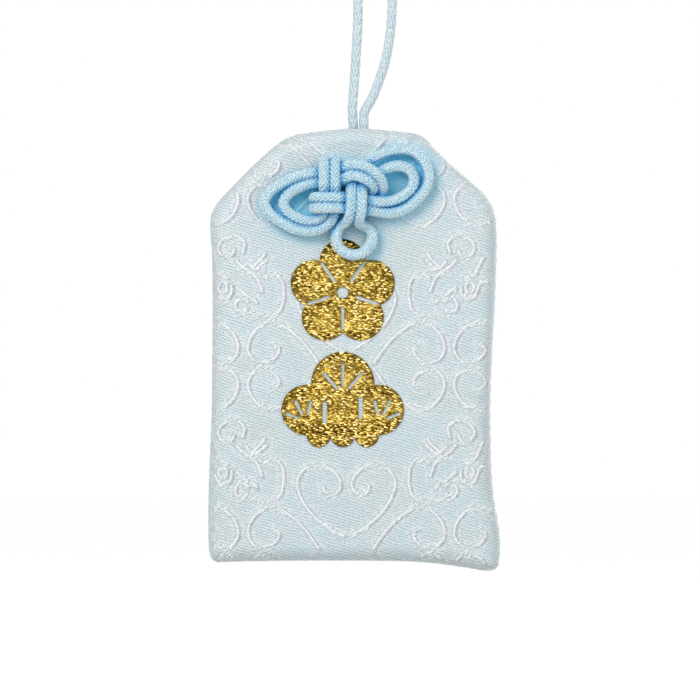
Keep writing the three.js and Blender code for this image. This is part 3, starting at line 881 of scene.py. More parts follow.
    def paint_crease_shade(self, mesh: Mesh, line: Array, braid: Braid) -> None:
        """Writes the painted crease shade: how closely other strands or the pouch face each point of the
        cord.

        Args:
            mesh: The braided mesh.
            line: The cord's middle line in the row frame, in millimetres.
            braid: How the stretch is braided and coloured.
        """
        places, facing = vertex_rows(mesh) / MM, vertex_rows(mesh, "normal")
        half = braid.diameter / 2
        spacing = route_length(line) / (len(line) - 1)
        apart = self.crease_skip * braid.diameter / spacing
        numbers = np.arange(len(line))
        crease = np.zeros(len(places))
        for first in range(0, len(places), BATCH):
            part = slice(first, first + BATCH)
            reach = line[None] - places[part, None]
            far = np.linalg.norm(reach, axis=2)
            toward = np.einsum("vpc,vc->vp", reach, facing[part]) / np.maximum(far, 1e-6)
            close = np.clip(1.0 - (far - half) / (self.crease_reach * braid.diameter), 0.0, 1.0)
            other = np.abs(numbers[None] - far.argmin(axis=1)[:, None]) > apart
            met = (np.clip(toward, 0.0, 1.0) * close * other).max(axis=1)
            inner = far.min(axis=1) < half - self.yarn_thickness * self.core_share
            crease[part] = np.maximum(met, inner * self.core_crease)
        # Painted shade on the underside, where the bow lies on the pouch.
        if braid.lies:
            gap = np.clip(1.0 - (-FRONT_FACE - places[:, 1]) / braid.diameter, 0.0, 1.0)
            crease = np.maximum(crease, self.under_shade_share * gap * np.clip(facing[:, 1], 0.0, 1.0))
        # Stores the painted crease shade for the cord's finish.
        set_point_values(mesh, "crease", braid.deepest_shade * smooth_step(*self.crease_span, crease))

    def knot_path(self) -> Array:
        """Runs the bow's cord from the hole round both ears and back.

        Returns:
            Its middle line in the row frame, in metres.
        """
        route = np.array([*self.outer_round, *reversed(self.inner_round)])
        x, layer, z = route.T
        seat = FRONT_FACE + self.knot_seat + self.knot.diameter / 2
        near_loop = np.abs(x - self.lower_loop_x) < self.lower_loop_half
        lower_loop = smooth_step(*self.lower_loop_span, z) * near_loop
        depth = -seat - np.maximum(layer, 0.0) * self.knot_layer - self.lower_loop_lift * lower_loop
        sunk = layer < 0.0
        depth[sunk] = -seat + layer[sunk] / self.hole_layer * (seat + self.hole_end)
        placed = np.stack([x + self.knot_x, depth, z - self.knot_drop], axis=1)
        return to_frame(smooth_route(placed, self.knot_points))

    def loop_path(self) -> Array:
        """Runs the hanging cord from the hole up, round and back.

        Returns:
            Its middle line in the row frame, in metres.
        """
        loop = [(x, 0.0, z) for x, z in self.loop]
        line = smooth_route([*self.left_neck, *loop, *self.right_neck], self.loop_points)
        pressed = self.mouth_pinch * np.exp(-((line[:, 2] / self.pinch_reach) ** 2))
        line[:, 0] -= np.sign(line[:, 0] - self.mouth_x) * pressed
        return to_frame(line)

    def ears(self) -> list[Array]:
        """The outlines of the bow's two ears: x and height."""
        rounds = [np.array(self.outer_round[first:last]) for first, last in (self.left_ear, self.right_ear)]
        return [ear[:, [0, 2]] + (self.knot_x, -self.knot_drop) for ear in rounds]

    def build(self) -> list[Piece]:
        """Braids the hanging cord and the bow, and ties the bow to its body.

        Returns:
            The two pieces.
        """
        tree = self.braid_tree()
        path = self.loop_path()
        hanging = self.braided(tree, "hanging_cord", path, self.hanging)
        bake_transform(hanging)
        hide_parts("hanging_loop", "left_neck_strand", "right_neck_strand")
        path = self.knot_path()
        bow = self.braided(tree, "bow", path, self.knot)
        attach(bow, Body.BOW.value)
        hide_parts("bow_knot")
        return [hanging, bow]


@dataclass
class Figure:
    """The woven figure of the brocade: upright hearts, hearts on their side and a cloud, in rows."""

    axis_x: float = -1.09
    first_row: float = -57.6
    row_pitch: float = 28.7
    rows: int = 3
    route_points: int = 60
    line_step: float = 0.25
    fewest_points: int = 8
    shortest_run: int = 4
    line_half_width: float = 0.3
    line_softness: float = 0.4
    bloom_reach: float = 1.1
    edge_margin: float = 0.95
    side_axis: float = -7.9
    outer_mirror: float = 16.0
    heart: Route = (
        (0.3, -5.6), (2.2, -4.7), (5.0, -2.5), (7.0, 0.3), (7.6, 2.8), (6.8, 4.5), (5.0, 5.3), (2.8, 5.0),
        (1.2, 3.6), (0.9, 2.0), (1.9, 0.8), (3.3, 1.2), (3.6, 2.3),
    )
    side_lobe: Route = (
        (4.2, -7.6), (6.1, -4.9), (8.4, -2.6), (11.2, -1.1), (13.3, -1.7), (14.9, -3.6), (15.2, -5.6),
        (14.0, -7.2), (12.1, -7.2), (10.7, -6.2), (10.4, -5.0), (11.5, -4.5),
    )
    ring: Route = (
        (16.1, 9.6), (15.8, 11.2), (16.9, 12.3), (18.8, 12.0), (19.9, 10.6), (19.2, 9.2), (17.8, 9.2),
        (17.4, 10.2),
    )
    stalk: Route = (
        (17.1, 8.6), (16.3, 7.7), (15.4, 7.0), (14.4, 6.3), (13.7, 5.5), (13.4, 4.7), (13.0, 3.6),
    )
    bank: Route = (
        (16.4, 0.4), (14.7, 0.3), (13.0, -0.2), (11.5, -0.1), (10.3, 0.7), (9.8, 2.2), (9.7, 3.7),
        (10.0, 5.3), (10.9, 6.3), (12.0, 6.3), (12.9, 5.8),
    )
    leaf: Route = ((13.8, 1.8), (14.3, 2.5), (15.2, 2.9), (16.1, 3.6), (17.1, 4.4))
    scallop: Route = (
        (15.2, 2.0), (15.9, 2.6), (16.7, 2.5), (17.2, 1.7), (17.1, 0.9), (16.4, 0.4), (15.6, 0.6),
        (15.5, 1.3),
    )
    twigs: tuple[Route, ...] = (
        ((12.6, 9.7), (13.0, 8.9), (13.8, 8.1), (14.7, 7.2)),
        ((12.3, 8.6), (13.2, 7.8), (14.1, 7.0)),
        ((12.6, 7.1), (13.5, 7.1), (14.6, 7.4), (15.6, 8.4)),
    )
    cloud: Route = (
        (17.8, 4.7), (17.8, 3.5), (18.4, 2.6), (19.4, 2.5), (20.1, 3.2), (20.5, 4.4), (21.2, 5.4),
        (22.0, 5.0),
    )
    petal: Route = (
        (18.5, 4.6), (18.6, 3.7), (19.2, 3.3), (19.8, 3.9), (19.7, 4.8), (19.0, 5.1), (18.5, 4.6),
    )
    stem: Route = ((18.4, 5.6), (19.3, 6.1), (20.1, 6.5), (20.5, 7.4), (20.9, 8.3), (21.3, 9.1))

    def lines(self) -> list[Array]:
        """Draws the figure on the flat cloth.

        Returns:
            Lines of x and height.
        """
        lobe = np.array(self.side_lobe)
        below = lobe * (1.0, -1.0) + (0.0, 2.0 * self.side_axis)
        outer = [part * (-1.0, 1.0) + (2.0 * self.outer_mirror, 0.0) for part in (lobe, below)]
        parts = [self.heart, lobe, below, *outer, self.ring, self.stalk, self.bank, self.leaf, self.scallop]
        parts += [*self.twigs, self.cloud, self.petal, self.stem]
        made = []
        for row in range(self.rows):
            middle = (self.axis_x, self.first_row + row * self.row_pitch)
            for part in parts:
                line = smooth_route(part, self.route_points)
                line = even_points(line, max(self.fewest_points, int(route_length(line) / self.line_step)))
                made += [line * (mirror, 1.0) + middle for mirror in (1.0, -1.0)]
        return made

    def mask(self, places: Array) -> list[Array]:
        """How far each place of the cloth belongs to the figure.

        Args:
            places: x and height.

        Returns:
            1 on a line of the figure and 0 away from it, then the same with a wide soft border.
        """
        points = np.vstack(self.lines())
        tree = kdtree.KDTree(len(points))
        for i, (x, z) in enumerate(points):
            tree.insert((x, 0.0, z), i)
        tree.balance()
        away = np.array([tree.find((x, 0.0, z))[2] for x, z in places])
        half = self.line_half_width
        borders = (self.line_softness, self.bloom_reach)
        return [1.0 - smooth_step(half, half + border, away) for border in borders]

    def curve(self, outline: Array, openings: Sequence[Array]) -> Piece:
        """The figure's lines as one curve object in the row frame, cut off at the cloth's edges.

        Args:
            outline: The cloth's closed outline: x and height.
            openings: Closed outlines of the places that no line crosses.

        Returns:
            The curve object.
        """
        middle = (outline.min(axis=0) + outline.max(axis=0)) / 2
        half = (outline.max(axis=0) - outline.min(axis=0)) / 2
        drawn_in = (outline - middle) * (1.0 - self.edge_margin / half) + middle
        runs = []
        for line in self.lines():
            kept = inside_outline(line, drawn_in)
            for opening in openings:
                kept &= ~inside_outline(line, opening)
            for run in np.split(np.arange(len(line)), np.flatnonzero(np.diff(kept)) + 1):
                if len(run) >= self.shortest_run and kept[run[0]]:
                    runs.append(to_frame(stand(line[run], 0.0)))
        return add_lines("figure_lines", runs)


@dataclass(frozen=True)
class Settling:
    """How the padded cloth swells in the cloth simulation, on a coarse grid and at a larger scale."""

    rows: int = 62
    columns: int = 44
    scale: float = 20.0
    frames: int = 24
    hold: float = 0.17
    cap: float = 0.32
    quality: int = 6
    mass: float = 0.3
    stretch: float = 18.0
    shear: float = 12.0
    bending: float = 0.6
    shrink: float = -0.0015
    pressure: float = 0.15
    gravity: float = 0.1

    def run(self, start: Array, held: Array) -> Array:
        """Lets a sheet settle.

        Args:
            start: Where the grid's points start, row by row.
            held: How firmly each point is sewn down, up to 1.

        Returns:
            Where the points end.
        """
        faces = grid_faces(self.rows, self.columns)
        obj = add_mesh("settling_cloth", start * MM * self.scale, faces.tolist())
        pinned = obj.vertex_groups.new(name="sewn")
        for i, weight in enumerate(np.clip(held, self.hold, 1.0)):
            pinned.add([i], float(weight), "REPLACE")
        modifier = obj.modifiers.new("cloth", "CLOTH")
        cloth = modifier.settings
        cloth.quality = self.quality
        cloth.mass = self.mass
        cloth.tension_stiffness = cloth.compression_stiffness = self.stretch
        cloth.shear_stiffness = self.shear
        cloth.bending_stiffness = self.bending
        cloth.vertex_group_mass = pinned.name
        cloth.shrink_min = self.shrink
        cloth.use_pressure = True
        cloth.uniform_pressure_force = self.pressure
        cloth.effector_weights.gravity = self.gravity
        modifier.collision_settings.use_collision = False
        modifier.point_cache.frame_start = 1
        modifier.point_cache.frame_end = self.frames
        scene = bpy.context.scene
        for number in range(1, self.frames + 1):
            scene.frame_set(number)
        made = obj.evaluated_get(bpy.context.evaluated_depsgraph_get()).data
        ended = vertex_rows(made) / MM / self.scale
        scene.frame_set(1)
        bpy.data.objects.remove(obj)
        return ended


@dataclass(frozen=True)
class Cloth:
    """The brocade's shape, alike for both faces of the pouch: outline, depth, swell and cord hole."""

    seam_depth: float = 0.04
    edge_rounding: float = 2.5
    edge_slack: float = 0.006
    rim_depth: float = 2.3
    rim_rounding: float = 2.0
    rim_crease: float = 0.09
    rim_crease_place: float = 0.75
    rim_crease_width: float = 0.18
    hole_x: float = -0.3
    hole_drop: float = 7.35
    hole_radius: float = 1.85
    middle_height: float = -34.0
    columns: int = 171
    rows: int = 230
    edge_columns: float = 0.8
    edge_rows: float = 0.45
    grid_points: int = 1200
    outline_points: int = 120
    side_points: int = 500
    foot_points: int = 240
    swell: float = 0.06
    broad_waves: Triple = (0.07, 0.055, 1.7)
    fine_waves: Triple = (0.2, 0.11, 5.1)
    fine_share: float = 0.45
    fine_span: Span = (0.3, 0.95)
    fine_half_width: float = 22.0
    back_shift: float = 40.0
    settling: Settling = Settling()
    seam_hold: Span = (0.2, 0.75)
    hole_hold: Span = (3.0, 6.0)
    ornament_x: float = -1.6
    ornament_hold: Span = (8.0, 11.0)
    ornament_foot: Span = (-54.0, -50.0)
    ornament_top: Span = (-15.0, -18.0)
    mouth: Route = (
        (-8.9, -0.8), (-8.3, -0.95), (-7.6, -0.98), (-6.3, -0.86), (-5.1, -0.7), (-3.8, -0.55),
        (-2.6, -0.42), (-1.2, -0.32), (0.9, -0.3), (3.4, -0.4), (4.8, -0.54), (6.0, -0.66), (7.3, -0.74),
        (8.6, -0.86), (9.5, -0.86), (10.1, -0.72),
    )
    left: Route = (
        (-8.9, -0.8), (-10.6, -1.4), (-12.1, -2.45), (-14.3, -4.35), (-16.3, -6.25), (-18.1, -8.1),
        (-19.9, -9.95), (-21.4, -11.8), (-22.15, -13.5), (-22.25, -15.6), (-22.0, -19.1), (-21.9, -26.5),
        (-21.95, -35.9), (-22.05, -44.2), (-22.5, -56.3), (-22.55, -61.9), (-22.4, -65.7), (-21.95, -66.95),
        (-21.1, -67.4),
    )
    right: Route = (
        (10.1, -0.72), (10.8, -0.98), (11.5, -1.42), (12.05, -2.05), (12.6, -2.7), (14.4, -4.5),
        (16.4, -6.3), (18.5, -8.1), (20.4, -9.9), (21.65, -11.7), (22.2, -13.5), (22.4, -15.6),
        (22.4, -19.1), (22.15, -26.5), (21.65, -35.9), (21.4, -44.2), (21.8, -56.3), (22.7, -61.9),
        (22.9, -65.6), (22.45, -68.2), (21.4, -68.75),
    )
    foot: Route = (
        (-21.1, -67.4), (-16.0, -67.25), (-8.0, -67.15), (0.0, -67.15), (8.0, -67.25), (12.0, -67.5),
        (15.0, -67.85), (18.0, -68.3), (20.0, -68.65), (21.4, -68.75),
    )

    def outline(self) -> Array:
        """The closed outline of a panel: x and height."""
        parts = (self.mouth, self.right, self.foot[::-1], self.left[::-1])
        return np.vstack([smooth_route(part, self.outline_points)[:-1] for part in parts])

    def drawn_in(self, places: Array, share: Any) -> Array:
        """Moves flat places towards the cloth's middle, to a share of their distance from it."""
        middle = np.array([0.0, self.middle_height])
        return (places - middle) * share + middle

    def grid(self) -> Array:
        """Spreads rows and columns over the outline.

        Returns:
            x and height above the rim of each grid point, by row from the mouth down and by column.
        """
        def spaced(count: int, share: float) -> Array:
            """Shares from 0 to 1 that crowd towards both ends."""
            even = np.linspace(0.0, 1.0, count)
            return even * (1.0 - share) + (0.5 - 0.5 * np.cos(np.pi * even)) * share

        def at(route: Route, places: Array) -> Array:
            """Points of a route at shares of its length."""
            fine = smooth_route(route, self.grid_points)
            steps = np.linspace(0.0, 1.0, len(fine))
            return np.stack([np.interp(places, steps, axis) for axis in fine.T], axis=1)

        u, v = spaced(self.columns, self.edge_columns), spaced(self.rows, self.edge_rows)
        top, bottom = at(self.mouth, u), at(self.foot, u)
        left, right = at(self.left, v), at(self.right, v)
        across, down = u[None, :, None], v[:, None, None]
        ends = (1 - down) * top[None] + down * bottom[None]
        sides = (1 - across) * left[:, None] + across * right[:, None]
        corners = (1 - down) * ((1 - across) * top[0] + across * top[-1])
        corners = corners + down * ((1 - across) * bottom[0] + across * bottom[-1])
        return ends + sides - corners

    @staticmethod
    def distance(places: Array, line: Array) -> Array:
        """Measures how far flat places are from a polyline.

        Args:
            places: x and height of each place.
            line: Points of the polyline.

        Returns:
            The distance of each place.
        """
        least = np.full(len(places), np.inf)
        for a, d in zip(line[:-1], np.diff(line, axis=0)):
            share = np.clip(((places - a) @ d) / max(d @ d, 1e-9), 0.0, 1.0)
            least = np.minimum(least, np.linalg.norm(places - a - share[:, None] * d, axis=1))
        return least

    def depth(self, places: Array) -> tuple[Array, Array]:
        """How far the cloth stands out from the seam's plane.

        Args:
            places: x and height.

        Returns:
            The depth of each place, and how far it is from the seam as a share of the rounded edge.
        """
        def crown(away: Array, radius: float) -> Array:
            """Rises from 0 at an edge to 1 at a radius from it, along a quarter circle."""
            return np.sqrt(np.clip(1.0 - (1.0 - np.clip(away / radius, 0.0, 1.0)) ** 2, 0.0, 1.0))

        left, right = [smooth_route(side, self.side_points) for side in (self.left, self.right)]
        seam = np.vstack([left, smooth_route(self.foot, self.foot_points), right[::-1]])
        away = np.maximum(self.distance(places, seam) - self.edge_slack, 0.0)
        rim = self.distance(places, smooth_route(self.mouth, self.outline_points))
        open_edge = self.rim_depth + (FRONT_FACE - self.rim_depth) * crown(rim, self.rim_rounding)
        crease = self.rim_crease * np.exp(-(((rim - self.rim_crease_place) / self.rim_crease_width) ** 2))
        rounded = crown(away, self.edge_rounding)
        return self.seam_depth + (open_edge - crease - self.seam_depth) * rounded, rounded

    def ripple(self, places: Array, rounded: Array, side: Side) -> Array:
        """Lets the cloth rise and fall softly between seam and middle.

        Args:
            places: x and height.
            rounded: How far each place is from the seam, up to 1.
            side: Which face of the pouch.

        Returns:
            The rise of each place.
        """
        shift = self.back_shift if side is Side.BACK else 0.0
        away = np.abs(places[:, 0]) / self.fine_half_width
        broad = soft_noise(places, self.broad_waves, shift)
        fine = self.fine_share * soft_noise(places, self.fine_waves, shift)
        return self.swell * (broad + fine * smooth_step(*self.fine_span, away)) * rounded ** 2

    def sewn(self, places: Array, rounded: Array) -> Array:
        """Finds how firmly the seam, the cord and the ornaments hold the cloth.

        Args:
            places: x and height.
            rounded: How far each place is from the seam, up to 1.

        Returns:
            The hold on each place, up to 1.
        """
        x, z = places.T
        by_seam = 1.0 - smooth_step(*self.seam_hold, rounded)
        by_cord = 1.0 - smooth_step(*self.hole_hold, np.hypot(x - self.hole_x, z + self.hole_drop))
        stitched = 1.0 - smooth_step(*self.ornament_hold, np.abs(x - self.ornament_x))
        stitched *= smooth_step(*self.ornament_foot, z) * smooth_step(*self.ornament_top, z)
        return np.maximum(np.maximum(by_seam, by_cord), stitched)

    def settle(self, grid: Array, side: Side) -> Array:
        """Lets the padded cloth swell and pucker between its seams by cloth simulation.

        Args:
            grid: x and height above the rim of each grid point, by row and by column.
            side: Which face of the pouch.

        Returns:
            How far each grid point moves outwards.
        """
        coarse = self.settling
        at_row = np.linspace(0, self.rows - 1, coarse.rows).round().astype(int)
        at_column = np.linspace(0, self.columns - 1, coarse.columns).round().astype(int)
        places = grid[np.ix_(at_row, at_column)].reshape(-1, 2)
        depth, rounded = self.depth(places)
        start = stand(places, -depth - self.ripple(places, rounded, side))
        ended = coarse.run(start, self.sewn(places, rounded))
        moved = (-ended[:, 1] - depth).reshape(coarse.rows, -1)
        log.info("%s cloth settled by %.2f to %.2f mm", side.name.lower(), moved.min(), moved.max())
        moved = np.clip(moved, -coarse.cap, coarse.cap)
        wide = np.stack([np.interp(np.arange(self.columns), at_column, row) for row in moved])
        return np.stack([np.interp(np.arange(self.rows), at_row, line) for line in wide.T], axis=1)


@dataclass(frozen=True)
class PaintedShade:
    """Painted shade and blue bounced light that the bow's cord lays on the front of the pouch."""

    # The painted shadow lies this far right and down from the strands.
    shift: Span = (0.55, -0.45)
    foot: float = -24.0
    half_width: float = 18.0
    strand_span: Span = (0.7, 2.6)
    heart_radius: float = 4.6
    ear_share: float = 0.5
    ear_strand_share: float = 0.4
    open_share: float = 0.35

    def over(self, points: Array) -> Array:
        """How much painted shade the cord lays on each point.

        Args:
            points: Places about the rim.

        Returns:
            0 in the open, a little beside the strands and near 1 inside the bow's ears.
        """
        cord = Cord()
        line = from_frame(cord.knot_path()[::4])[:, [0, 2]] + self.shift
        flat = points[:, [0, 2]]
        sheltered = np.zeros(len(points))
        near = np.flatnonzero((flat[:, 1] > self.foot) & (np.abs(flat[:, 0]) < self.half_width))
        for part in np.array_split(near, len(near) // BATCH + 1):
            far = np.linalg.norm(flat[part, None] - line[None], axis=2).min(axis=1)
            sheltered[part] = 1.0 - smooth_step(*self.strand_span, far)
        within = np.any([inside_outline(flat, ear) for ear in cord.ears()], axis=0)
        within |= np.hypot(flat[:, 0] - cord.knot_x, flat[:, 1] + cord.knot_drop) < self.heart_radius
        in_bow = self.ear_share + self.ear_strand_share * sheltered
        return np.where(within, in_bow, self.open_share * sheltered)


@dataclass(frozen=True)
class Panel:
    """A panel of brocade with its rolled hem, its relief and, in front, the cord hole."""

    cloth: Cloth = Cloth()
    lee: PaintedShade = PaintedShade()
    thickness: float = 0.3
    relief: float = 0.05
    hem_roll: float = 0.42
    hem_length: float = 4.5
    hem_bend: float = 0.6
    hem_steps: int = 7
    hole_pull: float = 1.3

    def hem(self, rim: Array, rounded: Array) -> Array:
        """Rolls the cloth inwards at the mouth.

        Args:
            rim: Places along the mouth's edge.
            rounded: 1 where the hem rolls fully, down to 0 where the mouth meets the seam.

        Returns:
            Rows of places from the hem's inner end to the last one before the rim.
        """
        roll = self.hem_roll * rounded
        drops = np.linspace(self.hem_length, self.hem_bend, self.hem_steps)
        turns = np.linspace(math.pi, 0.0, self.hem_steps)[:-1]
        steps = [(-2.0 * roll, np.full_like(roll, -drop)) for drop in drops]
        steps += [(-(1.0 - math.cos(turn)) * roll, math.sin(turn) * roll) for turn in turns]
        return np.array([rim + np.stack([np.zeros_like(roll), *step], axis=1) for step in steps])

    def lay_out(self, mesh: Mesh, surface: Array) -> None:
        """Writes where each corner lies on the flat cloth, in metres, to the UV map.

        Args:
            mesh: The panel before it is thickened.
            surface: Its places by row and by column.
        """
        steps = np.linalg.norm(np.diff(surface, axis=1, prepend=surface[:, :1]), axis=2)
        across = np.cumsum(steps, axis=1)
        across -= across[:, [self.cloth.columns // 2]]
        laid = np.stack([across, surface[:, :, 2]], axis=2).reshape(-1, 2) * MM
        corner = np.empty(len(mesh.loops), int)
        mesh.loops.foreach_get("vertex_index", corner)
        uv = mesh.uv_layers.new(name="cloth")
        uv.data.foreach_set("uv", laid[corner].astype(np.float32).ravel())

    def cut_hole(self, mesh: Mesh) -> None:
        """Opens the round hole that the cord comes out of.

        Args:
            mesh: The front panel before it is thickened.
        """
        middle = Vector(spot(self.cloth.hole_x, 0.0, -self.cloth.hole_drop))
        radius = self.cloth.hole_radius * MM
        front = -0.5 * FRONT_FACE * MM

        def away(vertex: bmesh.types.BMVert) -> float:
            """Distance of a vertex from the hole's middle, seen from in front."""
            return math.hypot(vertex.co.x - middle.x, vertex.co.z - middle.z)

        with edited(mesh) as work:
            inside = [f for f in work.faces if all(away(v) < radius and v.co.y < front for v in f.verts)]
            bmesh.ops.delete(work, geom=inside, context="FACES")
            for vertex in work.verts:
                reach = away(vertex)
                if vertex.is_boundary and vertex.co.y < front and reach < self.hole_pull * radius:
                    vertex.co.x = middle.x + (vertex.co.x - middle.x) * radius / reach
                    vertex.co.z = middle.z + (vertex.co.z - middle.z) * radius / reach

    def make(self, side: Side, figure: Figure, material: Material) -> Piece:
        """Builds the panel of one face.

        Args:
            side: Which face of the pouch.
            figure: The woven figure.
            material: The brocade.

        Returns:
            The panel.
        """
        front = side is Side.FRONT
        grid = self.cloth.grid()
        places = grid.reshape(-1, 2)
        depth, rounded = self.cloth.depth(places)
        mask, bloom = figure.mask(places)
        depth = depth + self.cloth.settle(grid, side).ravel() + self.relief * mask * rounded
        sheet = stand(places, depth).reshape(*grid.shape[:2], 3)
        columns = self.cloth.columns
        hem = self.hem(sheet[0], rounded[:columns])
        surface = np.concatenate([hem, sheet])
        points = surface.reshape(-1, 3) * (1.0, side.value, 1.0)
        faces = grid_faces(len(surface), columns)
        outward = faces if front else faces[:, ::-1]
        obj = add_mesh(side.name.lower() + "_brocade", to_frame(points), outward.tolist())
        plain = np.zeros(len(hem) * columns)
        set_point_values(obj.data, "figure", np.concatenate([plain, mask]))
        set_point_values(obj.data, "bloom", np.concatenate([plain, bloom]))
        # Painted shade and blue bounced light from the bow, on the front only.
        set_point_values(obj.data, "lee", self.lee.over(points) if front else np.zeros(len(points)))
        self.lay_out(obj.data, surface)
        if front:
            self.cut_hole(obj.data)
        thicken(obj, self.thickness)
        dress(obj, material)
        return obj


class Landing(NamedTuple):
    """What a look at the cloth finds: a place, the cloth's direction there, and whether there is none."""

    place: Socket
    normal: Socket
    missed: Socket


@dataclass(frozen=True)
class Floats:
    """The figure's raised threads: lines with a painted shadow line beside them, and slanted floats."""

    cloth: Cloth = Cloth()
    lee: PaintedShade = PaintedShade()
    hole_margin: float = 1.1
    ray_start: float = 20.0
    ray_length: float = 19.5
    line_width: float = 0.5
    line_height: float = 0.2
    line_tone: float = 0.85
    line_step: float = 1.25
    level_share: float = 0.3
    level_span: Span = (0.3, 0.6)
    # The dark line beside each white line is a painted shadow, set to the lower right.
    shade_width: float = 0.3
    shade_tone: float = 0.2
    shade_height: float = 0.6
    shade_level_share: float = 0.15
    shade_side: Triple = (0.9, 0.0, -0.3)
    spacing: float = 0.22
    length: float = 0.86
    thickness: float = 0.27
    height_share: float = 1.1
    slant: float = 0.72
    lean: float = 0.2
    stretch: Span = (0.75, 1.2)
    scatter: Span = (0.5, 2.7)
    steep: Span = (0.5, 0.68)
    tone: float = 0.9

    def openings(self) -> list[Array]:
        """Finds the places that the figure's threads leave free.

        Returns:
            Outlines of the cord hole, with a margin, and of the gold ornaments.
        """
        cloth = self.cloth
        clear = cloth.hole_radius + self.hole_margin
        hole = Embroidery.arc(cloth.hole_x, -cloth.hole_drop, clear, 0.0, math.tau)
        return [hole, *Embroidery().outlines()]

    def cloth_ray(self, tree: GeometryTree) -> Landing:
        """Looks from in front of the cloth straight at it.

        Args:
            tree: A tree with the inputs Cloth and Facing.

        Returns:
            What the look finds.
        """
        source = {"Object": tree.given["Cloth"]}
        cloth = tree.add("GeometryNodeObjectInfo", source, transform_space="RELATIVE")
        start = self.ray_start * MM
        step_out = tree.vector(0.0, tree.math("MULTIPLY", tree.given["Facing"], start), 0.0)
        inputs = {
            "Target Geometry": cloth.outputs["Geometry"],
            "Source Position": tree.vector_math("ADD", tree.out("GeometryNodeInputPosition"), step_out),
            "Ray Direction": tree.scaled(step_out, -1.0 / start),
            "Ray Length": self.ray_length * MM,
        }
        ray = tree.add("GeometryNodeRaycast", inputs, data_type="FLOAT_VECTOR").outputs
        missed = tree.out("FunctionNodeBooleanMath", {0: ray["Is Hit"]}, operation="NOT")
        return Landing(ray["Hit Position"], ray["Hit Normal"], missed)

    def tree(self) -> GeometryTree:
        """Builds the tree that raises the figure's lines on the cloth.

        A line is white with a painted shadow line beside it where it runs upright, and a band of slanted
        floats where it runs level.

        Returns:
            The tree, with the sizes of lines and floats as its inputs.
        """
        tree = GeometryTree("floats", (
            "Facing", "Spacing", "Length", "Slant", "Thickness", "Line width", "Line height", "Shade width",
            "Level share",
        ), {"Cloth": "NodeSocketObject"})
        found = self.cloth_ray(tree)
        tree.close(tree.join(*self.upright_lines(tree, found), self.level_floats(tree, found)))
        return tree

    def level_floats(self, tree: GeometryTree, found: Landing) -> Socket:
        """Strews slanted floats along the figure's level lines.

        Args:
            tree: The tree of the floats.
            found: What a look at the cloth finds.

        Returns:
            The floats.
        """
        given = tree.given
        route = {0: given["Geometry"], "Length": given["Spacing"]}
        dots = tree.add("GeometryNodeCurveToPoints", route, mode="LENGTH").outputs
        along, across = self.scatter
        loose = tree.vector(tree.around(along, 3), 0.0, tree.around(across, 4))
        spread = {0: dots["Points"], "Offset": tree.scaled(loose, given["Spacing"])}
        strewn = tree.out("GeometryNodeSetPosition", spread)
        upright = tree.math("ABSOLUTE", tree.split(dots["Tangent"])[2])
        steep = tree.math("GREATER_THAN", upright, tree.random(*self.steep, 7))
        lying = tree.out("FunctionNodeAlignRotationToVector", {"Vector": found.normal}, axis="Z")
        marked = tree.store(strewn, "QUATERNION", "lie", lying)
        left_out = tree.out("FunctionNodeBooleanMath", {0: found.missed, 1: steep}, operation="OR")
        thinned = tree.out("GeometryNodeDeleteGeometry", {0: marked, "Selection": left_out})
        landed = tree.out("GeometryNodeSetPosition", {0: thinned, "Position": found.place})
        bead = tree.store(tree.bead(6, 5, math.pi / 2), "FLOAT", "tone", self.tone)
        lean = tree.math("ADD", given["Slant"], tree.around(self.lean, 5))
        spin = tree.out("FunctionNodeEulerToRotation", {0: tree.vector(0.0, 0.0, lean)})
        turns = {0: tree.read("QUATERNION", "lie"), 1: spin}
        turned = tree.out("FunctionNodeRotateRotation", turns, rotation_space="LOCAL")
        length = tree.math("MULTIPLY", given["Length"], tree.random(*self.stretch, 6))
        height = tree.math("MULTIPLY", given["Thickness"], self.height_share)
        size = tree.vector(length, given["Thickness"], height)
        return tree.drop(tree.stitch(landed, bead, turned, size), "lie")

    def upright_lines(self, tree: GeometryTree, found: Landing) -> list[Socket]:
        """Draws the figure's lines and the painted shadow lines beside them, full where they run upright.

        Args:
            tree: The tree of the floats.
            found: What a look at the cloth finds.

        Returns:
            The white lines and the painted shadow lines.
        """
        given = tree.given
        step = tree.math("MULTIPLY", given["Spacing"], self.line_step)
        route = tree.out("GeometryNodeResampleCurve", {0: given["Geometry"], "Length": step}, mode="LENGTH")
        climb = tree.math("ABSOLUTE", tree.split(tree.out("GeometryNodeInputTangent"))[2])
        widths = tree.math("ADD", given["Line width"], given["Shade width"])
        beside = tree.scaled(tree.vector(*self.shade_side), widths)
        low = tree.math("MULTIPLY", given["Line height"], self.shade_height)
        layers = (
            (self.line_tone, 0.0, given["Level share"], given["Line width"], given["Line height"]),
            # The second layer is the painted shadow line, dark and shifted to the lower right.
            (self.shade_tone, 0.5, self.shade_level_share, given["Shade width"], low),
        )
        start, end = self.level_span
        drawn = []
        for tone, shift, least, width, tall in layers:
            rise = {"Value": climb, "From Min": start, "From Max": end, "To Min": least, "To Max": 1.0}
            fullness = tree.add("ShaderNodeMapRange", rise).outputs["Result"]
            line = tree.out("GeometryNodeSetPosition", {0: route, "Offset": tree.scaled(beside, shift)})
            line = tree.store(line, "FLOAT", "fullness", fullness)
            line = tree.store(line, "FLOAT", "tone", tone)
            line = tree.store(line, "FLOAT_VECTOR", "facing", found.normal)
            line = tree.out("GeometryNodeDeleteGeometry", {0: line, "Selection": found.missed})
            line = tree.out("GeometryNodeSetPosition", {0: line, "Position": found.place})
            facing = {0: line, "Normal": tree.read("FLOAT_VECTOR", "facing")}
            line = tree.out("GeometryNodeSetCurveNormal", facing, mode="FREE")
            ring = tree.section(6, tree.vector(tall, width, 1.0))
            full = {0: line, 1: ring, "Scale": tree.read("FLOAT", "fullness")}
            drawn.append(tree.drop(tree.out("GeometryNodeCurveToMesh", full), "fullness", "facing"))
        return drawn

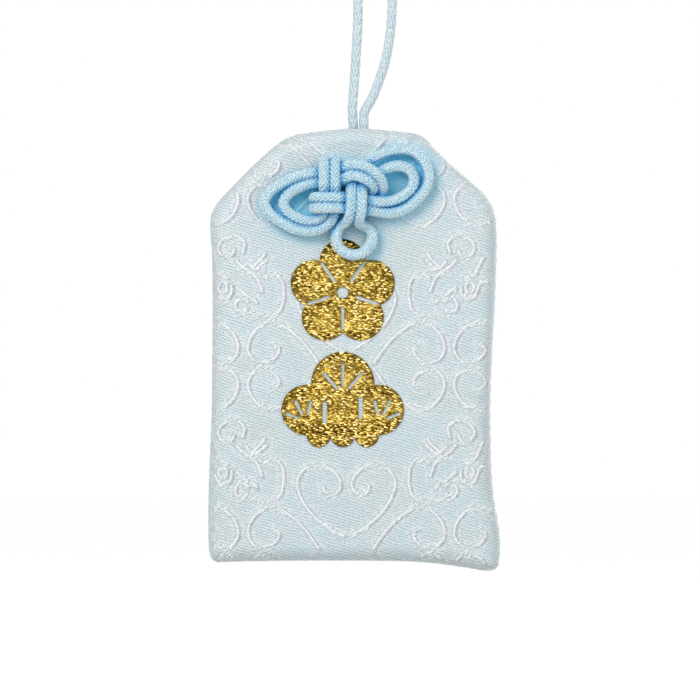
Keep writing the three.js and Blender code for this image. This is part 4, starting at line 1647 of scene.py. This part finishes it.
    def make(
        self, tree: GeometryTree, panel: Piece, side: Side, figure: Figure, material: Material
    ) -> Piece:
        """Raises the figure on the panel of one face.

        Args:
            tree: The tree of the floats.
            panel: The panel.
            side: Which face of the pouch.
            figure: The woven figure.
            material: The floats' finish.

        Returns:
            The floats of that face.
        """
        front = side is Side.FRONT
        lines = figure.curve(self.cloth.outline(), self.openings() if front else [])
        lengths = {
            "Spacing": self.spacing, "Length": self.length, "Thickness": self.thickness,
            "Line width": self.line_width, "Line height": self.line_height, "Shade width": self.shade_width,
        }
        others = {
            "Cloth": panel, "Facing": float(side.value), "Slant": self.slant,
            "Level share": self.level_share, "Material": material,
        }
        obj = tree.grow(lines, side.name.lower() + "_floats", lengths, others)
        if front:
            # Painted shade and blue bounced light from the bow over the front floats.
            set_point_values(obj.data, "lee", self.lee.over(from_frame(vertex_rows(obj.data))))
        dress(obj, material)
        return obj


@dataclass(frozen=True)
class Interlining:
    """The felted sheet behind a panel."""

    cloth: Cloth = Cloth()
    thickness: float = 0.3
    thickness_share: float = 0.85
    top: float = -3.0
    front: float = 2.3
    margin: float = 1.85
    half_size: Span = (22.3, 34.0)
    stride: int = 6
    sink: float = 0.04
    swell: float = 0.03
    waves: Triple = (0.12, 0.12, 9.3)
    hole_margin: float = 1.1
    finish: FibreFinish = FibreFinish("interlining", (0.74, 0.80, 0.81), (0.90, 0.93, 0.93), 2.4)

    def make(self, side: Side, material: Material) -> Piece:
        """Builds the sheet of one face.

        Args:
            side: Which face of the pouch.
            material: The felt.

        Returns:
            The sheet.
        """
        grid = self.cloth.grid()[:: self.stride, :: self.stride]
        shrink = 1.0 - self.margin / np.array(self.half_size)
        places = self.cloth.drawn_in(grid.reshape(-1, 2), shrink)
        places[:, 1] = np.minimum(places[:, 1], self.top)
        depth = self.front - self.sink + self.swell * soft_noise(places, self.waves)
        points = stand(places, depth * side.value)
        below = places[:, 1] < self.top
        kept = [f for f in grid_faces(*grid.shape[:2]).tolist() if below[f].sum() > 1]
        if side is Side.FRONT:
            hole = np.array([self.cloth.hole_x, -self.cloth.hole_drop])
            clear = self.cloth.hole_radius + self.hole_margin
            kept = [f for f in kept if np.linalg.norm(places[f].mean(axis=0) - hole) > clear]
        else:
            kept = [f[::-1] for f in kept]
        obj = add_mesh(side.name.lower() + "_felt", to_frame(points), kept)
        with edited(obj.data) as work:
            bmesh.ops.delete(work, geom=[v for v in work.verts if not v.link_faces], context="VERTS")
        thicken(obj, self.thickness * self.thickness_share)
        dress(obj, material)
        return obj


@dataclass(frozen=True)
class Seam:
    """The sewing stitches along the pouch's sides and foot."""

    cloth: Cloth = Cloth()
    pitch: float = 2.0
    share: float = 0.7
    thickness: float = 0.26
    inset: float = 0.997
    side_points: int = 160
    foot_points: int = 80
    skip: int = 40
    finish: FibreFinish = FibreFinish("sewing_thread", (0.60, 0.72, 0.78), (0.82, 0.90, 0.93), 5.0)

    def tree(self) -> GeometryTree:
        """Builds the tree that sets stitches along a line.

        Returns:
            The tree, with the stitches' sizes as its inputs.
        """
        tree = GeometryTree("seam", ("Pitch", "Length", "Thickness"))
        given = tree.given
        route = {0: given["Geometry"], "Length": given["Pitch"]}
        dots = tree.add("GeometryNodeCurveToPoints", route, mode="LENGTH").outputs
        along = tree.out("FunctionNodeAlignRotationToVector", {"Vector": dots["Tangent"]}, axis="Z")
        size = tree.vector(given["Thickness"], given["Thickness"], given["Length"])
        tree.close(tree.stitch(dots["Points"], tree.bead(8, 8), along, size))
        return tree

    def make(self) -> Piece:
        """Sews the stitches.

        Returns:
            The stitches as one piece.
        """
        cloth = self.cloth
        sides = [smooth_route(side, self.side_points) for side in (cloth.left, cloth.right)]
        left, right = [side[self.skip :] for side in sides]
        foot = smooth_route(cloth.foot, self.foot_points)[1:-1]
        seam = cloth.drawn_in(np.vstack([left, foot, right[::-1]]), self.inset)
        line = add_lines("seam_line", [to_frame(stand(seam, 0.0))])
        lengths = {"Pitch": self.pitch, "Length": self.share * self.pitch, "Thickness": self.thickness}
        material = self.finish.material()
        obj = self.tree().grow(line, "seam_stitches", lengths, {"Material": material})
        dress(obj, material)
        return obj


@dataclass
class Pouch:
    """The brocade pouch: two crowned panels, their figure, the interlinings and the seam."""

    finish: BrocadeFinish = BrocadeFinish()
    panel: Panel = Panel()
    floats: Floats = Floats()
    interlining: Interlining = Interlining()
    seam: Seam = Seam()

    def build(self) -> list[Piece]:
        """Builds the pouch and ties its pieces to the pouch's body.

        Returns:
            The pieces of both faces and the seam's stitches.
        """
        figure = Figure()
        ground, white, felt = self.finish.ground(), self.finish.floats(), self.interlining.finish.material()
        tree = self.floats.tree()
        made = []
        for side in Side:
            name = side.name.lower()
            panel = self.panel.make(side, figure, ground)
            threads = self.floats.make(tree, panel, side, figure, white)
            lining = self.interlining.make(side, felt)
            for piece in (panel, threads, lining):
                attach(piece, Body.POUCH.value)
            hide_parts(name + "_panel")
            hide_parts(name + "_interlining")
            made += [panel, threads, lining]
        stitches = self.seam.make()
        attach(stitches, Body.POUCH.value)
        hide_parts("seam_thread")
        return [*made, stitches]


@dataclass
class Embroidery:
    """The two gold ornaments in fill stitch: a plum blossom above a pine crown."""

    middle_x: float = -1.6
    back: float = 3.12
    pad: float = 0.2
    # The pad shows dark gold between the stitches: painted shade in the gaps.
    pad_shade_tone: float = 0.1
    fill_size: float = 26.0
    row_pitch: float = 0.33
    stitch_spacing: float = 0.5
    shortest: float = 0.4
    longest: float = 0.95
    thread: float = 0.31
    slope: float = -0.1
    tilt: float = 0.4
    loose_along: float = 0.9
    loose_across: float = 0.4
    loose_height: float = 0.3
    probe_half: float = 0.37
    probe_places: tuple[float, ...] = (-1.0, -0.35, 0.35, 1.0)
    probe_reach: float = 10.0
    blossom_drop: float = 25.4
    petal_reach: float = 4.7
    petal_radius: float = 3.6
    petals: int = 5
    eye_radius: float = 0.9
    pine_drop: float = 43.6
    pine_side_x: float = 5.6
    pine_side_radius: float = 3.9
    pine_top_rise: float = 4.1
    pine_top_radius: float = 4.9
    pine_scallops: int = 3
    slit_half_width: float = 0.36
    petal_slit_half_width: float = 0.26
    petal_slit_start: float = 2.1
    petal_slit_end: float = 0.35
    slit_length: float = 3.4
    slit_stagger: float = 0.4
    needle_half_width: float = 0.24
    needle_spread: float = 0.72
    needle_shortening: float = 0.3
    needle_fans: tuple[tuple[float, ...], ...] = (
        (0.0, 2.3, 0.0, 1.3, 5.0), (-5.8, -1.8, 0.45, 1.1, 3.7), (5.8, -1.8, -0.45, 1.1, 3.7),
    )

    @staticmethod
    def ray(x: float, z: float, turn: float, near: float, far: float, half: float) -> Array:
        """Corners of a straight slit that points away from a place."""
        out = np.array([math.cos(turn), math.sin(turn)])
        side = np.array([-out[1], out[0]]) * half
        return np.array([out * near - side, out * near + side, out * far + side, out * far - side]) + (x, z)

    @staticmethod
    def arc(x: float, z: float, radius: float, start: float, end: float, count: int = 24) -> Array:
        """Points on an arc, without its last one."""
        turn = np.linspace(start, end, count, endpoint=False)
        return np.stack([x + radius * np.cos(turn), z + radius * np.sin(turn)], axis=1)

    def blossom(self) -> list[Array]:
        """Draws the blossom.

        Returns:
            Its outline, its open eye and the slits between its petals.
        """
        half = math.pi / self.petals
        notch = self.petal_reach * math.cos(half)
        notch += math.sqrt(self.petal_radius ** 2 - (self.petal_reach * math.sin(half)) ** 2)
        spread = math.atan2(notch * math.sin(half), notch * math.cos(half) - self.petal_reach)
        far = notch - self.petal_slit_end
        petals, slits = [], []
        for i in range(self.petals):
            turn = math.pi / 2 + i * 2 * half
            x, z = self.petal_reach * math.cos(turn), self.petal_reach * math.sin(turn)
            petals.append(self.arc(x, z, self.petal_radius, turn - spread, turn + spread))
            gap = math.pi / 2 + (2 * i + 1) * half
            slits.append(self.ray(0.0, 0.0, gap, self.petal_slit_start, far, self.petal_slit_half_width))
        return [np.vstack(petals), self.arc(0.0, 0.0, self.eye_radius, math.tau, 0.0), *slits]

    def pine(self) -> list[Array]:
        """Draws the pine crown.

        Returns:
            Its outline, its two slits and the needles in its three lobes.
        """
        meet = math.atan2(self.pine_top_rise, self.pine_side_x)
        reach = math.hypot(self.pine_side_x, self.pine_top_rise)
        side, top = self.pine_side_radius, self.pine_top_radius
        side_turn = math.acos((side ** 2 + reach ** 2 - top ** 2) / (2 * side * reach))
        top_turn = math.acos((top ** 2 + reach ** 2 - side ** 2) / (2 * top * reach))
        parts = [
            self.arc(self.pine_side_x, 0.0, side, -math.pi / 2, math.pi - meet - side_turn),
            self.arc(0.0, self.pine_top_rise, top, -meet + top_turn, math.pi + meet - top_turn),
            self.arc(-self.pine_side_x, 0.0, side, meet + side_turn, math.pi * 1.5),
        ]
        foot = self.pine_side_x / self.pine_scallops
        for i in range(self.pine_scallops):
            parts.append(self.arc(-self.pine_side_x + (2 * i + 1) * foot, -side, foot, math.pi, math.tau))
        rings = [np.vstack(parts)]
        for sign in (-1.0, 1.0):
            x = sign * self.pine_side_x / 2
            low = sign * self.slit_stagger - self.slit_length / 2
            high, half = low + self.slit_length, self.slit_half_width
            rings.append(np.array([(x - half, low), (x - half, high), (x + half, high), (x + half, low)]))
        for x, z, tilt, near, far in self.needle_fans:
            for step in (-1, 0, 1):
                turn = math.pi / 2 + tilt + step * self.needle_spread
                tip = far - abs(step) * self.needle_shortening
                rings.append(self.ray(x, z, turn, near, tip, self.needle_half_width))
        return rings

    def outlines(self) -> list[Array]:
        """Where the ornaments lie on the cloth: x and height."""
        placed = ((self.blossom(), self.blossom_drop), (self.pine(), self.pine_drop))
        return [rings[0] + (self.middle_x, -drop) for rings, drop in placed]

    def pad_mesh(self, name: str, rings: list[Array], drop: float) -> Piece:
        """Builds the thin ground that the stitches cover.

        Args:
            name: Name of the object.
            rings: The outline and the openings in it.
            drop: How far below the rim the ornament's middle is.

        Returns:
            The pad.
        """
        flat = np.vstack(rings)
        count = len(flat)
        triangles = tessellate_polygon([[Vector((x, z, 0.0)) for x, z in ring] for ring in rings])
        faces = [list(t) for t in triangles] + [[i + count for i in reversed(t)] for t in triangles]
        first = 0
        for ring in rings:
            for i in range(len(ring)):
                a, b = first + i, first + (i + 1) % len(ring)
                faces.append([a, b, b + count, a + count])
            first += len(ring)
        placed = flat + (self.middle_x, -drop)
        points = np.vstack([stand(placed, -self.back - self.pad), stand(placed, -self.back)])
        obj = add_mesh(name, to_frame(points), faces)
        with edited(obj.data) as work:
            bmesh.ops.recalc_face_normals(work, faces=work.faces)
        return obj

    def fill_tree(self) -> GeometryTree:
        """Builds the tree that fills a flat pad with rows of stitches that stay inside its outline.

        Returns:
            The tree, with the stitches' sizes as its inputs.
        """
        tree = GeometryTree("fill_stitch", (
            "Middle X", "Middle Z", "Face Y", "Size", "Row pitch", "Spacing", "Shortest", "Longest",
            "Thread", "Slope",
        ))
        given = tree.given
        marks = {
            "length": tree.random(given["Shortest"], given["Longest"], 14),
            "tilt": tree.around(self.tilt, 15),
            "tone": tree.random(0.0, 1.0, 16),
        }
        stored = self.middles(tree)
        for name, value in marks.items():
            stored = tree.store(stored, "FLOAT", name, value)
        length = tree.read("FLOAT", "length")
        lean = tree.math("ADD", given["Slope"], tree.read("FLOAT", "tilt"))
        outside = self.outside(tree, length, lean)
        kept = tree.out("GeometryNodeDeleteGeometry", {0: stored, "Selection": outside})
        turn = tree.vector(0.0, tree.math("MULTIPLY", lean, -1.0), 0.0)
        rotation = tree.out("FunctionNodeEulerToRotation", {0: turn})
        size = tree.vector(length, given["Thread"], given["Thread"])
        stitches = tree.stitch(kept, tree.bead(6, 7, math.pi / 2), rotation, size)
        # The pad's dark tone is painted shade between the stitches.
        pad = tree.store(given["Geometry"], "FLOAT", "tone", self.pad_shade_tone)
        tree.close(tree.join(pad, stitches))
        return tree

    def middles(self, tree: GeometryTree) -> Socket:
        """Sets out the middles of the stitches in loose rows that slope.

        Args:
            tree: The tree of the fill stitch.

        Returns:
            The points.
        """
        given = tree.given
        steps = [tree.math("DIVIDE", given["Size"], given[pitch]) for pitch in ("Spacing", "Row pitch")]
        columns, rows = [tree.math("CEIL", step) for step in steps]
        sizes = {"Size X": given["Size"], "Size Y": given["Size"], "Vertices X": columns, "Vertices Y": rows}
        grid = tree.out("GeometryNodeMeshGrid", sizes)
        across, up, _ = tree.split(tree.out("GeometryNodeInputPosition"))
        shift = tree.math("MULTIPLY", tree.around(self.loose_along, 11), given["Spacing"])
        wander = tree.math("MULTIPLY", tree.around(self.loose_across, 12), given["Row pitch"])
        lift = tree.math("MULTIPLY", tree.around(self.loose_height, 13), given["Thread"])
        x = tree.math("ADD", across, shift)
        y = tree.math("ADD", given["Face Y"], lift)
        fall = tree.math("MULTIPLY", given["Slope"], x)
        z = tree.math("ADD", tree.math("ADD", up, wander), fall)
        here = tree.vector(tree.math("ADD", x, given["Middle X"]), y, tree.math("ADD", z, given["Middle Z"]))
        return tree.out("GeometryNodeSetPosition", {0: grid, "Position": here})

    def outside(self, tree: GeometryTree, length: Socket, lean: Socket) -> Socket:
        """Tells which stitches would reach past the pad, by looking at it from in front.

        Args:
            tree: The tree of the fill stitch.
            length: Length of each stitch.
            lean: How far each stitch rises along its length.

        Returns:
            True for each stitch that has no pad behind part of it.
        """
        place = tree.out("GeometryNodeInputPosition")
        half = tree.math("MULTIPLY", length, self.probe_half)
        along = tree.vector(half, 0.0, tree.math("MULTIPLY", half, lean))
        hits = 1.0
        for share in self.probe_places:
            tip = tree.vector_math("ADD", place, tree.scaled(along, share))
            inputs = {
                "Target Geometry": tree.given["Geometry"],
                "Source Position": tree.vector_math("ADD", tip, (0.0, -self.probe_reach * MM, 0.0)),
                "Ray Direction": (0.0, 1.0, 0.0),
                "Ray Length": 2.0 * self.probe_reach * MM,
            }
            ray = tree.add("GeometryNodeRaycast", inputs, data_type="FLOAT")
            hits = tree.math("MULTIPLY", hits, ray.outputs["Is Hit"])
        return tree.math("LESS_THAN", hits, 0.5)

    def build(self) -> list[Piece]:
        """Stitches both ornaments and ties them to the pouch's body.

        Returns:
            The two ornaments.
        """
        material = GoldFinish().material()
        tree = self.fill_tree()
        lengths = {
            "Size": self.fill_size, "Row pitch": self.row_pitch, "Spacing": self.stitch_spacing,
            "Shortest": self.shortest, "Longest": self.longest, "Thread": self.thread,
        }
        ornaments = (
            ("upper", self.blossom(), self.blossom_drop),
            ("lower", self.pine(), self.pine_drop),
        )
        made = []
        for name, rings, drop in ornaments:
            pad = self.pad_mesh(name + "_pad", rings, drop)
            middle = spot(self.middle_x, -self.back - self.pad, -drop)
            others = dict(zip(("Middle X", "Face Y", "Middle Z"), middle))
            others |= {"Slope": self.slope, "Material": material}
            gold = tree.grow(pad, name + "_stitches", lengths, others)
            dress(gold, material)
            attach(gold, Body.POUCH.value)
            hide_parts(name + "_embroidery")
            made.append(gold)
        return made


@dataclass
class Contents:
    """What the pouch holds, kept as the CAD nodes with their own finishes."""

    card: FibreFinish = FibreFinish("card", (0.50, 0.43, 0.33), (0.68, 0.60, 0.48), 3.0)
    paper: FibreFinish = FibreFinish("paper", (0.80, 0.77, 0.70), (0.92, 0.90, 0.85), 2.0, relief=0.02)
    cypress: FibreFinish = FibreFinish("cypress", (0.58, 0.40, 0.22), (0.80, 0.63, 0.42), 1.6, stretch=14.0)

    def build(self) -> list[Piece]:
        """Gives the card, the wrapper and the slip their finishes.

        Returns:
            The three nodes.
        """
        finishes = (
            ("stiffener_card", self.card, Slot.CARD),
            ("prayer_wrapper", self.paper, Slot.PAPER),
            ("prayer_slip", self.cypress, Slot.CYPRESS),
        )
        for node, finish, slot in finishes:
            dress(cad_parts[node], finish.material())
        return [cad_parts[node] for node, _, _ in finishes]


@dataclass(frozen=True)
class Lamp:
    """A square soft light: its place in the row frame and its side in metres, and its power in watts."""

    name: str
    place: Triple
    side: float
    power: float

    def hang(self, target: Vector) -> None:
        """Hangs the light and turns it to a place.

        Args:
            target: The place in the row frame.
        """
        light = bpy.data.lights.new(self.name, "AREA")
        light.size = self.side
        light.energy = self.power
        obj = add_object(self.name, light)
        obj.location = self.place
        obj.rotation_euler = (target - obj.location).to_track_quat("-Z", "Y").to_euler()


@dataclass
class Studio:
    """Pale floor, soft light, white surroundings and the camera of the photograph."""

    lens: float = 200.0
    sensor: float = 36.0
    clip: Span = (0.01, 20.0)
    seen_width: float = 108.64
    seen_x: float = -0.47
    seen_z: float = -34.3
    floor_drop: float = 105.0
    floor_half: float = 1.2
    floor_tone: float = 0.25
    floor_light: float = 0.4
    floor_seen: float = 0.86
    world_light: float = 0.52
    world_gloss: float = 0.8
    lamps: tuple[Lamp, ...] = (
        Lamp("key", (-0.22, -0.4, 0.16), 0.24, 1.5),
        Lamp("fill", (0.4, -0.4, -0.05), 0.5, 1.05),
        Lamp("back", (0.25, 0.45, 0.06), 0.4, 1.3),
    )

    def surroundings(self) -> None:
        """White for what the camera and gloss see, soft light for everything else."""
        world = bpy.data.worlds.new("surroundings")
        bpy.context.scene.world = world
        world.use_nodes = True
        tree = NodeTree(world.node_tree)
        back = world.node_tree.nodes["Background"]
        back.inputs["Color"].default_value = (1.0, 1.0, 1.0, 1.0)
        path = tree.add("ShaderNodeLightPath").outputs
        mirrored = tree.math("MULTIPLY", path["Is Glossy Ray"], self.world_gloss)
        light = tree.largest(path["Is Camera Ray"], path["Is Transmission Ray"], mirrored, self.world_light)
        tree.feed(back.inputs["Strength"], light)

    def floor(self) -> None:
        """A pale floor that shows white to the camera and keeps the charm's shadow."""
        half = self.floor_half / MM
        corners = [(-half, -half), (half, -half), (half, half), (-half, half)]
        obj = add_mesh("floor", to_frame([(x, y, -self.floor_drop) for x, y in corners]), [[0, 1, 2, 3]])
        material = bpy.data.materials.new("pale_floor")
        material.use_nodes = True
        nodes = material.node_tree.nodes
        tree = NodeTree(material.node_tree)
        nodes.remove(nodes["Principled BSDF"])
        matt = tree.out("ShaderNodeBsdfDiffuse", {"Color": (*[self.floor_tone] * 3, 1.0)})
        path = tree.add("ShaderNodeLightPath").outputs
        seen = tree.largest(path["Is Camera Ray"], path["Is Glossy Ray"], path["Is Transmission Ray"])
        strength = tree.largest(tree.math("MULTIPLY", seen, self.floor_seen), self.floor_light)
        glow = tree.out("ShaderNodeEmission", {"Color": (1.0, 1.0, 1.0, 1.0), "Strength": strength})
        both = tree.out("ShaderNodeAddShader", {0: matt, 1: glow})
        tree.tree.links.new(both, nodes["Material Output"].inputs["Surface"])
        obj.data.materials.append(material)

    def camera(self) -> None:
        """The camera, level and straight in front of the pouch."""
        data = bpy.data.cameras.new("camera")
        data.lens = self.lens
        data.sensor_width = self.sensor
        data.clip_start, data.clip_end = self.clip
        obj = add_object("camera", data)
        away = self.seen_width * self.lens / self.sensor
        obj.location = spot(self.seen_x, -FRONT_FACE - away, self.seen_z)
        obj.rotation_euler = (math.pi / 2, 0.0, 0.0)
        bpy.context.scene.camera = obj

    def build(self) -> None:
        """Sets up the stage."""
        bpy.context.scene.view_settings.view_transform = "Standard"
        self.camera()
        self.surroundings()
        self.floor()
        for lamp in self.lamps:
            lamp.hang(Vector(spot(0.0, 0.0, self.seen_z)))


def main() -> None:
    """Builds the stage and the charm in order, and reports each piece."""
    logging.basicConfig(level=logging.INFO, format="%(name)s: %(message)s")
    Studio().build()
    for assembly in (Cord(), Pouch(), Embroidery(), Contents()):
        for piece in assembly.build():
            log.info("%s, %d faces", piece.name, len(piece.data.polygons))


if __name__ == "__main__":
    main()
